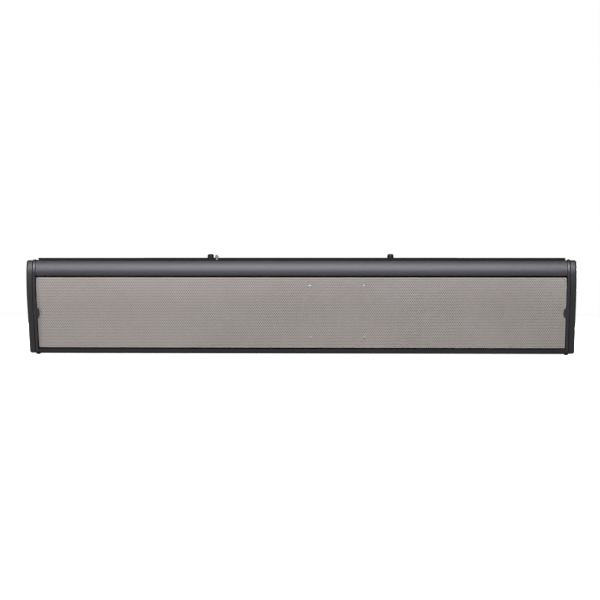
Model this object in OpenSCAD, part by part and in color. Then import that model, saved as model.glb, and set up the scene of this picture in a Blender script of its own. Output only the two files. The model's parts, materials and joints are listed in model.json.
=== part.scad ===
// Soundbar: an extruded housing with a leaning perforated grille, three drivers and a top mounting plate.
// Millimetres. +Z is up, the grille faces -Y and the length runs along X.
// The origin is on the ground, under the middle of the bar.

/* [Bar] */
// Overall length over the end caps
bar_w = 606; // [560:1:760]
// Overall depth from the nose to the back
bar_d = 84; // [80:1:110]
// Height of the end rings, without the feet
body_h = 104.4; // [100:0.1:130]
// How far the feet stand below the end rings
foot_h = 1.5; // [1:0.1:5]

/* [Front curve] */
// Angle at which the grille leans back towards the bottom
lean = 17.3; // [14:0.1:19]
// Radius of the curve below the nose
cheek_r = 118; // [90:1:140]
// Radius of the curve above the nose
brow_r = 36; // [30:1:45]
// Radius of the top front corner
crown_r = 3; // [2.9:0.1:5]
// Height of the top above the nose
nose_drop = 16.3; // [14:0.1:20]
// Radius of the two back corners
heel_r = 5; // [3.5:0.1:8]
// Radius of the bottom front corner
toe_r = 3; // [2.9:0.1:5]

/* [End caps] */
// Thickness of each outer cap
cap_t = 6.6; // [5:0.1:10]
// Rounding of the outer edge of a cap
cap_round = 2.0; // [1:0.1:2.2]
// How far the top of a cap lies below the top of its ring
cap_drop = 1.1; // [0:0.1:1.5]
// Shadow gap between a cap and its ring
joint_gap = 0.4; // [0.2:0.1:1]
// Thickness of each trim ring
ring_t = 3.0; // [2.5:0.1:5]
// Rounding of the bead on a trim ring
bead = 0.7; // [0.3:0.1:1]
// Width of the frame of a trim ring
ring_frame = 14; // [13:0.5:20]
// Height of the half-round grille tab on a ring
tab_h = 13.2; // [8:0.1:20]
// How far the tab reaches over the grille
tab_reach = 3.6; // [2:0.1:5]

/* [Housing] */
// Wall of the extrusion
wall = 2.2; // [1.8:0.1:2.8]
// How far the extrusion lies inside the outline of the rings
shy = 0.6; // [0.3:0.1:1.2]
// Height of the rounded top rail
roll_h = 18.3; // [17:0.1:22]
// Height of the bottom rail
rail_h = 5.0; // [4.6:0.1:8]
// Radius of the screw channels
boss_r = 3.4; // [3:0.1:4]
// Radius of the end cap screws
cap_screw_r = 1.5; // [1.2:0.1:1.8]

/* [Grille and baffle] */
// How far the grille lies inside the outline of the rings
grille_in = 2.0; // [1.5:0.1:3]
// Sheet thickness of the grille
grille_t = 1.0; // [0.8:0.1:1.5]
// Dark gap above and below the grille
grille_gap = 1.4; // [0.8:0.1:2.5]
// Gap between the grille and each ring
grille_end_gap = 0.8; // [0.4:0.1:2]
// Distance from the outline of the rings to the baffle
baffle_in = 11; // [10:0.5:14]
// Thickness of the baffle
baffle_t = 5; // [4:0.5:7]
// Thickness of the baffle gasket
gasket_t = 1; // [0.5:0.1:2]

/* [Drivers] */
// Place of the woofer along the bar
woofer_x = 41; // [30:1:60]
// Outer radius of the woofer's bright trim ring
woofer_ring_r = 40.2; // [36:0.1:40.4]
// Distance from the woofer's axis to a screw, along and across
woofer_screw_at = 31; // [31:0.1:32]
// Distance from each end of the bar to its side driver
side_inset = 88; // [80:1:110]
// Size of a side driver as a share of the woofer
side_scale = 0.88; // [0.7:0.01:0.95]
// Travel of a cone each way
cone_travel = 2.0; // [1:0.1:2.5]

/* [Top] */
// Height of the cover and mounting plate above the housing
plate_t = 2.3; // [1.5:0.1:4]
// Length of the mounting plate
plate_w = 347; // [260:1:380]
// Distance of the plate's front edge behind the nose
plate_front = 9; // [8.6:0.1:12]
// Depth of the mounting plate
plate_d = 51; // [40:1:60]
// Distance of the cover's front edge behind the nose
cover_front = 14; // [13.4:0.1:20]
// Distance between the two mounting bolts
bolt_gap = 200; // [150:1:240]
// Distance of the mounting bolts behind the nose
bolt_back = 23; // [20:1:28]
// Radius of a mounting bolt
bolt_r = 2.0; // [1.5:0.1:2.5]
// Distance between the two display bracket holes
bracket_gap = 300; // [260:1:320]
// Radius of a display bracket hole
bracket_hole_r = 2.6; // [2:0.1:3]

/* [Rear] */
// Length of the connector recess
recess_w = 120; // [120:1:140]
// Height of the connector recess
recess_h = 36; // [36:1:44]
// Depth of the connector recess
recess_d = 12; // [11:0.5:14]
// Distance between the two wall inserts
insert_gap = 400; // [380:1:440]
// Bore radius of a wall insert
insert_r = 2.1; // [1.6:0.1:2.6]

/* [Hidden] */
// Clearance between pieces that only pass each other
clear = 0.3;
// Radial clearance of a fastener or a shaft in its hole
slip = 0.05;
half_w = bar_w / 2;
y_nose = -bar_d / 2;
y_rear = bar_d / 2;
z_bot = foot_h;
z_top = foot_h + body_h;
z_nose = z_top - nose_drop;
z_mid = (z_bot + z_top) / 2;
cap_in_x = half_w - cap_t;
ring_x = cap_in_x - joint_gap - ring_t;
ring_out_x = ring_x + ring_t;
// Start of the straight, leaning part of the front
y_lean = y_nose + cheek_r * (1 - cos(lean));
z_lean = z_nose - cheek_r * sin(lean);
// Faces of the housing
skin_top = z_top - shy;
skin_back = y_rear - shy;
in_top = skin_top - wall;
in_bot = z_bot + shy + wall;
in_back = skin_back - wall;
rail_z = z_bot + rail_h;
roll_z = z_top - roll_h;
grille_z0 = rail_z + grille_gap;
grille_z1 = roll_z - grille_gap;
grille_x = ring_x - grille_end_gap;
// Baffle, gasket and flange planes, as depths behind the leaning line
baffle_back = baffle_in + baffle_t;
flange_in = baffle_back + gasket_t;
flange_t = 2.5;
baffle_x = ring_x - 1;
s_low = along(rail_z + 0.5, baffle_in);
s_high = along(roll_z - 0.5, baffle_back);
flange_low = s_low + 6.2;
flange_high = s_high - 5.2;
baffle_screw_r = 1.25;
baffle_screw_x = [for (k = [-1, 1]) each [k * (ring_x - 20), k * 120]];
baffle_screw_s = [s_low + 3.1, s_high - 2.4];
// Drivers
driver_z = (rail_z + roll_z) / 2 - 0.8;
driver_s = along(driver_z, baffle_in);
side_x = half_w - side_inset;
frame_side = 80;
frame_t = 2;
basket_r = 34;
cone_r = 27;
coil_r = 10.8;
gap_z = -22;
driver_screw_r = 1.5;
// Chamber walls
divider_x = side_x - 40;
divider_t = 3;
// Screw channels, as [y, z], and their distance from the inner faces
channel_in = 3.2;
channels = [
    [y_nose + 9.5, in_top - channel_in],
    [in_back - channel_in, in_top - channel_in],
    [in_back - channel_in, in_bot + channel_in],
    [y_nose + 47, in_bot + channel_in]
];
// Inset of the seat between a cap and its ring
seat_in = 2.5;
cap_head_r = 2.6;
cap_head_t = 1.9;
cap_sink = 0.5;
cap_screw_grip = 12;
// Top
plate_top = skin_top + plate_t;
plate_y0 = y_nose + plate_front;
cover_x = ring_x - 1;
cover_y0 = y_nose + cover_front;
cover_y1 = y_rear - 4;
bolt_y = y_nose + bolt_back;
bolt_head_r = 3.7;
bolt_head_h = 4.4;
nut_h = 3.2;
bracket_y = y_nose + 35;
cover_screw_r = 1.4;
cover_screw_x = [ring_x - 23, plate_w / 2 + 18];
cover_screw_y = [y_nose + 30, cover_y1 - 10];
// Safety stud
stud_x = -bolt_gap / 2 + 8.4;
stud_y = y_nose + 6.3;
// Feet
foot_r = 2.3;
foot_flat = 0.3;
foot_len = 10;
foot_x = ring_x + ring_t / 2;
foot_y = [y_nose + 29, y_rear - 10];
peg_r = 0.9;
peg_h = 2.6;
// Connector recess
sheet = 1.5;
recess_x = -divider_x + divider_t / 2 + 18.5;
recess_y = y_rear - recess_d;
recess_in = recess_y - sheet;
panel_lip = 8;
panel_screw_x = [recess_x - 4.5, recess_x + recess_w + 4.5];
panel_screw_z = [z_mid - 12, z_mid + 12];
panel_screw_r = 1.4;
// Places along the recess
inlet_x = recess_x + 16;
switch_x = recess_x + 38;
phono_x = [recess_x + 57, recess_x + 71];
line_x = recess_x + 85;
button_x = recess_x + 96;
knob_x = recess_x + 109.5;
// Sockets and controls
pin_gap = 8.6;
pin_r = 1.2;
socket_r = 4.3;
socket_half = 3.8;
socket_y = recess_y - 9;
rocker_w = 9.8;
rocker_half = 7.4;
rocker_tilt = 7;
rocker_pin_r = 1.0;
rocker_y = recess_y - 2;
shaft_r = 3;
knob_r = 7;
knob_y = recess_y + 2.5;
knob_len = 8;
button_r = 3;
button_travel = 0.8;
button_in = 5;
phono_r = 4.15;
phono_len = 8;
phono_collar = 0.4;
line_r = 1.8;
// Boards
board_t = 1.6;
board_y = recess_in - 12.5;
board_h = 56;
post_r = 2.6;
post_bore = 1.25;
board_posts = [for (x = [recess_x + 3, recess_x + recess_w - 3], z = [z_mid - 14, z_mid + 14]) [x, z]];
power_x = 85;
power_w = 80;
power_y = in_back - 3.6;
power_posts = [for (x = [power_x + 4, power_x + power_w - 4], z = [z_mid - 24, z_mid + 24]) [x, z]];
// Loom
loom_y = y_rear - 15;
loom_z = in_bot + 7.5;
loom_r = 1.8;
branch_r = 1.1;
insert_out_r = 4;
insert_len = 7.4;
insert_z = z_mid + 6;

// ---- Geometry of the leaning front ----

// Distance up the leaning line at which height z is met, at a depth behind the line
function along(z, depth) = (z - z_lean - depth * sin(lean)) / cos(lean);

// Point [y, z] at a distance up the leaning line and a depth behind it
function lean_at(s, depth) = [y_lean - s * sin(lean) + depth * cos(lean), z_lean + s * cos(lean) + depth * sin(lean)];

// Points of an arc about c
function arc(c, r, from, to, steps) =
    [for (k = [0:steps]) c + r * [cos(from + (to - from) * k / steps), sin(from + (to - from) * k / steps)]];

// Side outline of the bar, moved in by i, with every round stretch as an arc and its top lowered by drop
function outline(i, drop = 0) =
    let (
        rc = max(crown_r - i, 0.4),
        rh = max(heel_r - i, 0.4),
        rt = max(toe_r - i, 0.4),
        crown_z = z_top - drop - i - rc,
        crown = [y_nose + brow_r - sqrt(pow(brow_r - i - rc, 2) - pow(crown_z - z_nose, 2)), crown_z],
        turn = asin((crown_z - z_nose) / (brow_r - i - rc)),
        toe_z = z_bot + i + rt,
        toe = lean_at(along(toe_z, i + rt), i + rt)
    )
    concat(
        arc(toe, rt, 270, 180 + lean, 4),
        arc([y_nose + cheek_r, z_nose], cheek_r - i, 180 + lean, 180, 8),
        [for (p = arc([y_nose + brow_r, z_nose], brow_r - i, 180, 180 - turn, 6)) if (p[1] > z_nose + 0.01) p],
        [for (p = arc(crown, rc, 180 - turn, 90, 5)) if (p[1] > crown_z + 0.01) p],
        arc([y_rear - i - rh, z_top - drop - i - rh], rh, 90, 0, 5),
        arc([y_rear - i - rh, z_bot + i + rh], rh, 0, -90, 5)
    );

// Extrudes a [y, z] outline from x0 to x1
module along_x(x0, x1) {
    translate([x0, 0, 0])
        rotate([90, 0, 90])
            linear_extrude(x1 - x0)
                children();
}

// Cylinder along X, from x0 to x1
module x_rod(x0, x1, y, z, r) {
    translate([x0, y, z])
        rotate([0, 90, 0])
            cylinder(h = x1 - x0, r = r, $fn = 48);
}

// Cylinder along Y, from y0 to y1
module y_rod(x, z, y0, y1, r) {
    translate([x, y1, z])
        rotate([90, 0, 0])
            cylinder(h = y1 - y0, r = r, $fn = 48);
}

// Box along Y, centred on x and z
module y_box(x, z, w, h, y0, y1) {
    translate([x - w / 2, y0, z - h / 2])
        cube([w, y1 - y0, h]);
}

// Puts its children on the front of the baffle, with local Z pointing out and local Y up the slope
module on_baffle(x, s, depth = baffle_in) {
    p = lean_at(s, depth);
    translate([x, p[0], p[1]])
        rotate([90 + lean, 0, 0])
            children();
}

// Rectangle in the leaning frame, from s0 to s1 and from depth d0 to d1
module lean_rect(s0, s1, d0, d1) {
    polygon([lean_at(s0, d0), lean_at(s1, d0), lean_at(s1, d1), lean_at(s0, d1)]);
}

module mirrored(side) {
    if (side < 0)
        mirror([1, 0, 0])
            children();
    else
        children();
}

// ---- Housing ----

// Ribs inside the extrusion: rail, roll web and two baffle flanges
module ribs(grow = 0) {
    translate([y_nose, z_bot + shy - grow])
        square([42 + grow, rail_h - shy + 2 * grow]);
    translate([y_nose, roll_z - grow])
        square([15.5 + grow, wall + 2 * grow]);
    lean_rect(s_low - 3, flange_low + grow, flange_in - grow, flange_in + flange_t + grow);
    lean_rect(flange_high - grow, s_high + 3.3, flange_in - grow, flange_in + flange_t + grow);
}

module housing_section() {
    difference() {
        polygon(outline(shy));
        polygon(outline(shy + wall));
        translate([y_nose - 1, rail_z])
            square([35, roll_z - rail_z]);
    }
    intersection() {
        polygon(outline(shy));
        ribs();
    }
}

module housing() {
    color("#3b3a3c")
        difference() {
            union() {
                along_x(-ring_x, ring_x)
                    housing_section();
                // screw channels along the whole extrusion
                for (c = channels)
                    x_rod(-ring_x, ring_x, c[0], c[1], boss_r);
            }
            for (c = channels)
                x_rod(-ring_x - 1, ring_x + 1, c[0], c[1], cap_screw_r + slip);
            // connector recess
            translate([recess_x, recess_y, z_mid - recess_h / 2])
                cube([recess_w, recess_d + 1, recess_h]);
            for (x = panel_screw_x, z = panel_screw_z)
                sunk_hole_y(x, z, skin_back, panel_screw_r);
            for (x = [-insert_gap / 2, insert_gap / 2])
                y_rod(x, insert_z, in_back - 1, skin_back + 1, insert_out_r + slip);
            // holes in the top
            for (k = [-1, 1]) {
                translate([k * bolt_gap / 2, bolt_y, in_top - 1])
                    cylinder(h = wall + 2, r = bolt_r + 0.1, $fn = 32);
                translate([k * bracket_gap / 2, bracket_y, in_top - 1])
                    cylinder(h = wall + 2, r = bracket_hole_r + 0.4, $fn = 32);
                for (x = cover_screw_x, y = cover_screw_y)
                    translate([k * x, y, in_top - 1])
                        cylinder(h = wall + 2, r = cover_screw_r + slip, $fn = 32);
            }
            translate([stud_x, stud_y, in_top])
                cylinder(h = wall + 1, r = 1.1 + slip, $fn = 32);
            // threaded holes for the baffle screws
            for (x = baffle_screw_x, s = baffle_screw_s)
                on_baffle(x, s)
                    translate([0, 0, -(flange_in - baffle_in + flange_t + 1)])
                        cylinder(h = flange_t + 2, r = baffle_screw_r + slip, $fn = 32);
        }
}

// Hole along Y with a countersink that opens at y
module sunk_hole_y(x, z, y, r) {
    y_rod(x, z, y - 12, y + 1, r + slip);
    translate([x, y - 1.4, z])
        rotate([-90, 0, 0])
            cylinder(h = 1.6, r1 = r + slip, r2 = 2 * r + 0.2, $fn = 32);
}

// Countersunk screw along Y, with its head flush at y
module sunk_screw_y(x, z, y, r, len) {
    y_rod(x, z, y - len, y - 1.3, r);
    translate([x, y - 1.4, z])
        rotate([-90, 0, 0])
            difference() {
                cylinder(h = 1.3, r1 = r, r2 = 2 * r - 0.15, $fn = 32);
                translate([0, 0, 0.7])
                    drive_cross(r);
            }
}

// Cross recess for a screw driver
module drive_cross(r) {
    for (a = [0, 90])
        rotate([0, 0, a])
            translate([-1.2 * r, -0.25 * r, 0])
                cube([2.4 * r, 0.5 * r, 2]);
}

// ---- End caps and rings ----

module end_ring(side) {
    color("#4a494b")
        mirrored(side)
            difference() {
                union() {
                    hull() {
                        along_x(ring_x, ring_x + 0.1)
                            polygon(outline(bead));
                        along_x(ring_x + bead, ring_out_x - bead)
                            polygon(outline(0));
                        along_x(ring_out_x - 0.1, ring_out_x)
                            polygon(outline(bead));
                    }
                    grille_tab();
                }
                along_x(ring_x - 1, ring_out_x + 1)
                    polygon(outline(ring_frame));
                for (c = channels)
                    x_rod(ring_x - 1, ring_out_x + 1, c[0], c[1], cap_screw_r + 0.2);
                for (y = foot_y, k = [-1, 1])
                    translate([foot_x, y + k * foot_len / 4, z_bot - 1])
                        cylinder(h = peg_h + 1.2, r = peg_r + slip, $fn = 24);
            }
}

// Half-round tab that holds an end of the grille
module grille_tab() {
    r = (pow(tab_h / 2, 2) + pow(tab_reach, 2)) / (2 * tab_reach);
    tab_t = grille_in - 0.2 - shy;
    intersection() {
        on_baffle(ring_x - tab_reach + r, along((grille_z0 + grille_z1) / 2, grille_in), grille_in - 0.2)
            cylinder(h = tab_t, r = r, $fn = 64);
        translate([0, y_nose, 0])
            cube([ring_x + ring_t / 2, bar_d, z_top]);
    }
}

module end_cap(side) {
    plug = ring_frame + clear;
    color("#333234")
        mirrored(side)
            difference() {
                union() {
                    hull()
                        for (k = [0:4])
                            along_x(cap_in_x, half_w - cap_round * (1 - sin(k * 22.5)))
                                polygon(outline(cap_round * (1 - cos(k * 22.5)), cap_drop));
                    // raised seat that leaves the shadow gap
                    along_x(ring_out_x, cap_in_x + 0.5)
                        polygon(outline(seat_in, cap_drop));
                    along_x(ring_x + 0.5, cap_in_x + 0.5)
                        polygon(outline(plug));
                }
                for (c = channels) {
                    x_rod(ring_x, half_w + 1, c[0], c[1], cap_screw_r + 0.2);
                    x_rod(half_w - cap_sink - cap_head_t, half_w + 1, c[0], c[1], cap_head_r + 0.15);
                }
            }
}

module end_cap_screws(side) {
    color("#1b1b1c")
        mirrored(side)
            for (c = channels)
                difference() {
                    union() {
                        x_rod(ring_x - cap_screw_grip, half_w - cap_sink - 0.5, c[0], c[1], cap_screw_r);
                        x_rod(half_w - cap_sink - cap_head_t, half_w - cap_sink, c[0], c[1], cap_head_r);
                    }
                    translate([half_w - cap_sink - 1.1, c[0], c[1]])
                        rotate([0, 90, 0])
                            drive_cross(1.3);
                }
}

// Four rubber nubs with two pegs each
module feet() {
    color("#161616")
        for (k = [-1, 1], y = foot_y)
            translate([k * foot_x, y, 0]) {
                intersection() {
                    union() {
                        translate([0, foot_len / 2 - foot_r, foot_r - foot_flat])
                            rotate([90, 0, 0])
                                cylinder(h = foot_len - 2 * foot_r, r = foot_r, $fn = 40);
                        for (e = [-1, 1])
                            translate([0, e * (foot_len / 2 - foot_r), foot_r - foot_flat])
                                sphere(r = foot_r, $fn = 40);
                    }
                    translate([-foot_r, -foot_len / 2, 0])
                        cube([2 * foot_r, foot_len, z_bot]);
                }
                for (e = [-1, 1])
                    translate([0, e * foot_len / 4, z_bot - 0.5])
                        cylinder(h = peg_h + 0.5, r = peg_r, $fn = 24);
            }
}

// ---- Top ----

module top_cover() {
    color("#151515")
        difference() {
            translate([-cover_x, cover_y0, skin_top])
                cube([2 * cover_x, cover_y1 - cover_y0, plate_t]);
            translate([-plate_w / 2 - clear, y_nose, skin_top - 1])
                cube([plate_w + 2 * clear, plate_front + plate_d + clear, plate_t + 2]);
            for (k = [-1, 1], x = cover_screw_x, y = cover_screw_y)
                translate([k * x, y, skin_top - 1]) {
                    cylinder(h = plate_t + 2, r = cover_screw_r + slip, $fn = 32);
                    translate([0, 0, plate_t - 0.4])
                        cylinder(h = 1.6, r1 = cover_screw_r + slip, r2 = 2 * cover_screw_r + 0.2, $fn = 32);
                }
        }
}

module top_cover_screws() {
    color("#1b1b1c")
        for (k = [-1, 1], x = cover_screw_x, y = cover_screw_y)
            translate([k * x, y, plate_top]) {
                translate([0, 0, -plate_t - wall - 1])
                    cylinder(h = plate_t + wall, r = cover_screw_r, $fn = 32);
                translate([0, 0, -1.4])
                    difference() {
                        cylinder(h = 1.3, r1 = cover_screw_r, r2 = 2 * cover_screw_r - 0.15, $fn = 32);
                        translate([0, 0, 0.7])
                            drive_cross(cover_screw_r);
                    }
            }
}

module mounting_plate() {
    color("#0f0f10")
        difference() {
            translate([-plate_w / 2, plate_y0, skin_top])
                cube([plate_w, plate_d, plate_t]);
            for (k = [-1, 1]) {
                translate([k * bolt_gap / 2, bolt_y, skin_top - 1])
                    cylinder(h = plate_t + 2, r = bolt_r + slip, $fn = 40);
                translate([k * bracket_gap / 2, bracket_y, skin_top - 1])
                    cylinder(h = plate_t + 2, r = bracket_hole_r, $fn = 40);
            }
        }
}

module mounting_bolts() {
    color("#0c0c0d")
        for (k = [-1, 1])
            translate([k * bolt_gap / 2, bolt_y, 0])
                difference() {
                    union() {
                        translate([0, 0, in_top - nut_h - 1.5])
                            cylinder(h = plate_top - in_top + nut_h + 2, r = bolt_r, $fn = 40);
                        translate([0, 0, plate_top])
                            cylinder(h = bolt_head_h - 0.5, r = bolt_head_r, $fn = 48);
                        translate([0, 0, plate_top + bolt_head_h - 0.5])
                            cylinder(h = 0.5, r1 = bolt_head_r, r2 = bolt_head_r - 0.5, $fn = 48);
                    }
                    translate([0, 0, plate_top + bolt_head_h - 2.2])
                        cylinder(h = 3, r = 1.75, $fn = 6);
                }
}

module mounting_nuts() {
    color("silver")
        for (k = [-1, 1])
            translate([k * bolt_gap / 2, bolt_y, in_top - nut_h])
                difference() {
                    cylinder(h = nut_h, r = 4, $fn = 6);
                    translate([0, 0, -1])
                        cylinder(h = nut_h + 2, r = bolt_r + slip, $fn = 40);
                }
}

// Small bright stud for a safety wire
module safety_stud() {
    color("#c9c9cc")
        translate([stud_x, stud_y, 0]) {
            translate([0, 0, in_top])
                cylinder(h = plate_top - in_top + 0.6, r = 1.1, $fn = 32);
            translate([0, 0, skin_top])
                cylinder(h = 0.6, r = 1.8, $fn = 32);
            translate([0, 0, plate_top + 0.1])
                cylinder(h = 2.1, r = 1.95, $fn = 32);
            translate([0, 0, plate_top + 2.2])
                cylinder(h = 0.7, r1 = 1.95, r2 = 1.2, $fn = 32);
        }
}

// ---- Grille and baffle ----

// Front strip of the outline between two insets, from z0 to z1
module front_strip(i0, i1, z0, z1, depth) {
    intersection() {
        difference() {
            polygon(outline(i0));
            polygon(outline(i1));
        }
        translate([y_nose, z0])
            square([depth, z1 - z0]);
    }
}

module grille() {
    lip = 2.5;
    top_y = y_nose + grille_in + 0.6;
    low_y = lean_at(along(grille_z0, grille_in), grille_in)[0];
    color("#8f8b88")
        union() {
            along_x(-grille_x, grille_x) {
                front_strip(grille_in, grille_in + grille_t, grille_z0, grille_z1, 40);
                translate([top_y, grille_z1 - grille_t])
                    square([lip, grille_t]);
                translate([low_y + 0.2, grille_z0])
                    square([lip, grille_t]);
            }
            // end walls that stand on the baffle
            for (x = [-grille_x, grille_x - grille_t])
                along_x(x, x + grille_t)
                    intersection() {
                        polygon(outline(grille_in + 0.1));
                        lean_rect(s_low, s_high + 6, baffle_in, baffle_in - 20);
                        translate([y_nose, grille_z0])
                            square([40, grille_z1 - grille_z0]);
                    }
        }
}

module driver_hole(k) {
    scale(k) {
        translate([0, 0, -baffle_t / k - 1])
            cylinder(h = baffle_t / k + 2, r = basket_r + 0.5, $fn = 64);
        driver_screw_places()
            translate([0, 0, -baffle_t / k - 1])
                cylinder(h = baffle_t / k + 2, r = driver_screw_r + slip, $fn = 24);
    }
}

module front_baffle() {
    color("#1d1d1e")
        difference() {
            along_x(-baffle_x, baffle_x)
                lean_rect(s_low, s_high, baffle_in, baffle_back);
            on_baffle(woofer_x, driver_s)
                driver_hole(1);
            for (x = [-side_x, side_x])
                on_baffle(x, driver_s)
                    driver_hole(side_scale);
            for (x = baffle_screw_x, s = baffle_screw_s)
                on_baffle(x, s)
                    translate([0, 0, -baffle_t - 1])
                        cylinder(h = baffle_t + 2, r = baffle_screw_r + slip, $fn = 32);
        }
}

module baffle_gasket() {
    color("#101010")
        difference() {
            along_x(-baffle_x + 1, baffle_x - 1)
                lean_rect(s_low, s_high, baffle_back, flange_in);
            along_x(-baffle_x + 7, baffle_x - 7)
                lean_rect(flange_low, flange_high, baffle_back - 1, flange_in + 1);
            for (x = baffle_screw_x, s = baffle_screw_s)
                on_baffle(x, s)
                    translate([0, 0, -baffle_t - gasket_t - 1])
                        cylinder(h = gasket_t + 2, r = baffle_screw_r + slip, $fn = 32);
        }
}

module baffle_screws() {
    len = baffle_t + gasket_t + flange_t;
    color("#202021")
        for (x = baffle_screw_x, s = baffle_screw_s)
            on_baffle(x, s)
                difference() {
                    union() {
                        translate([0, 0, -len])
                            cylinder(h = len + 0.5, r = baffle_screw_r, $fn = 32);
                        cylinder(h = 1.5, r = 2.3, $fn = 32);
                    }
                    translate([0, 0, 0.8])
                        drive_cross(1.2);
                }
}

// Divider between the middle of the housing and a side chamber
module chamber_wall(side) {
    color("#2a2a2b")
        mirrored(side)
            difference() {
                along_x(divider_x - divider_t / 2, divider_x + divider_t / 2)
                    difference() {
                        polygon(outline(shy + wall + clear));
                        lean_rect(-200, 200, baffle_back + clear, -60);
                        lean_rect(s_low - 20, flange_low + clear, baffle_back - 1, flange_in + flange_t + clear);
                        lean_rect(flange_high - clear, s_high + 20, baffle_back - 1, flange_in + flange_t + clear);
                        ribs(clear);
                        translate([y_nose, roll_z - clear])
                            square([16, roll_h]);
                        for (c = channels)
                            translate(c)
                                circle(r = boss_r + clear, $fn = 40);
                    }
                x_rod(divider_x - 5, divider_x + 5, loom_y, loom_z, loom_r + clear);
            }
}

// ---- Rear panel ----

module input_panel() {
    color("#232324")
        difference() {
            union() {
                translate([recess_x - panel_lip, in_back - sheet, z_mid - recess_h / 2 - panel_lip])
                    cube([recess_w + 2 * panel_lip, sheet, recess_h + 2 * panel_lip]);
                translate([recess_x - sheet, recess_in, z_mid - recess_h / 2 - sheet])
                    cube([recess_w + 2 * sheet, in_back - recess_in, recess_h + 2 * sheet]);
            }
            translate([recess_x, recess_y, z_mid - recess_h / 2])
                cube([recess_w, recess_d + 1, recess_h]);
            y_box(inlet_x, z_mid, 18.4, 11.4, recess_in - 1, recess_y + 1);
            y_box(switch_x, z_mid, 13.4, 19.4, recess_in - 1, recess_y + 1);
            for (x = phono_x)
                y_rod(x, z_mid, recess_in - 1, recess_y + 1, phono_r + phono_collar + slip);
            y_rod(line_x, z_mid, recess_in - 1, recess_y + 1, 3.2);
            y_rod(button_x, z_mid, recess_in - 1, recess_y + 1, button_r + clear);
            y_rod(knob_x, z_mid, recess_in - 1, recess_y + 1, 3.8);
            for (x = panel_screw_x, z = panel_screw_z)
                y_rod(x, z, in_back - sheet - 1, in_back + 1, panel_screw_r + slip);
            for (p = board_posts)
                y_rod(p[0], p[1], recess_in - 1, recess_y + 1, post_bore);
        }
}

module input_panel_screws() {
    color("#1b1b1c")
        for (x = panel_screw_x, z = panel_screw_z)
            sunk_screw_y(x, z, skin_back, panel_screw_r, wall + sheet + 2);
}

// Figure-eight socket outline of the mains inlet
module socket_shape(grow) {
    for (k = [-1, 1])
        translate([k * socket_half, 0])
            circle(r = socket_r + grow, $fn = 48);
    square([2 * socket_half, 2 * (socket_r + grow)], center = true);
}

module y_extrude(x, z, y0, y1) {
    translate([x, y1, z])
        rotate([90, 0, 0])
            linear_extrude(y1 - y0)
                children();
}

module mains_inlet() {
    color("#121213")
        difference() {
            union() {
                y_extrude(inlet_x, z_mid, recess_y, recess_y + sheet)
                    socket_shape(3);
                y_box(inlet_x, z_mid, 18, 11, recess_y - 11.5, recess_y + 0.1);
            }
            y_extrude(inlet_x, z_mid, socket_y, recess_y + 5)
                socket_shape(0);
            for (k = [-1, 1])
                y_rod(inlet_x + k * pin_gap / 2, z_mid, recess_y - 13, recess_y, pin_r + slip);
        }
}

module inlet_pins() {
    color("#c8a55a")
        for (k = [-1, 1])
            y_rod(inlet_x + k * pin_gap / 2, z_mid, recess_y - 12, recess_y - 0.5, pin_r);
}

module power_switch_body() {
    color("#121213")
        difference() {
            union() {
                y_box(switch_x, z_mid, 16, 22, recess_y, recess_y + sheet);
                y_box(switch_x, z_mid, 13, 19, recess_y - 10, recess_y + 0.1);
            }
            y_box(switch_x, z_mid, rocker_w + 0.6, 2 * rocker_half + 1.6, recess_y - 7, recess_y + 5);
            x_rod(switch_x - 6, switch_x + 6, rocker_y, z_mid, rocker_pin_r + slip);
        }
}

// Rocker, tipped to its off side
module power_rocker() {
    color("#262627")
        translate([switch_x, rocker_y, z_mid])
            rotate([-rocker_tilt, 0, 0]) {
                along_x(-rocker_w / 2, rocker_w / 2)
                    polygon([
                        [-1.6, -4], [-1.6, 4], [0.5, rocker_half], [4.4, rocker_half],
                        [3.5, 0], [4.4, -rocker_half], [0.5, -rocker_half]
                    ]);
                x_rod(-5.9, 5.9, 0, 0, rocker_pin_r);
            }
}

module phono_jacks() {
    color("#b9b9bc")
        for (x = phono_x)
            difference() {
                union() {
                    y_box(x, z_mid, 11, 13, board_y, recess_in);
                    y_rod(x, z_mid, recess_in - 0.5, recess_y, phono_r + phono_collar);
                    y_rod(x, z_mid, recess_y - 0.5, recess_y + phono_len, phono_r);
                }
                y_rod(x, z_mid, recess_in - 4, recess_y + phono_len + 1, 1.7);
            }
}

module line_in_jack() {
    color("#1a1a1b")
        difference() {
            union() {
                y_box(line_x, z_mid, 10, 11, board_y, recess_in);
                y_rod(line_x, z_mid, recess_in - 0.5, recess_y + 1.6, 3);
            }
            y_rod(line_x, z_mid, board_y + 2, recess_y + 3, line_r);
        }
}

module source_switch_body() {
    color("#1a1a1b")
        y_box(button_x, z_mid, 7, 7, board_y, recess_in - button_in - button_travel - 0.2);
}

module source_button() {
    color("#2c2c2d")
        union() {
            y_rod(button_x, z_mid, recess_in - button_in, recess_y + 3, button_r);
            y_rod(button_x, z_mid, recess_in - button_in + 1, recess_in - clear, button_r + 0.8);
        }
}

module volume_pot() {
    color("#8e8f92")
        difference() {
            union() {
                y_rod(knob_x, z_mid, recess_in - 10, recess_in, 8);
                y_rod(knob_x, z_mid, recess_in - 0.5, recess_y + 2, 3.5);
            }
            y_rod(knob_x, z_mid, recess_in - 9.2, recess_y + 3, shaft_r - 0.5 + slip);
        }
}

module volume_shaft() {
    color("#a9aaad")
        y_rod(knob_x, z_mid, recess_in - 9, knob_y + knob_len - 1.5, shaft_r - 0.5);
}

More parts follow.
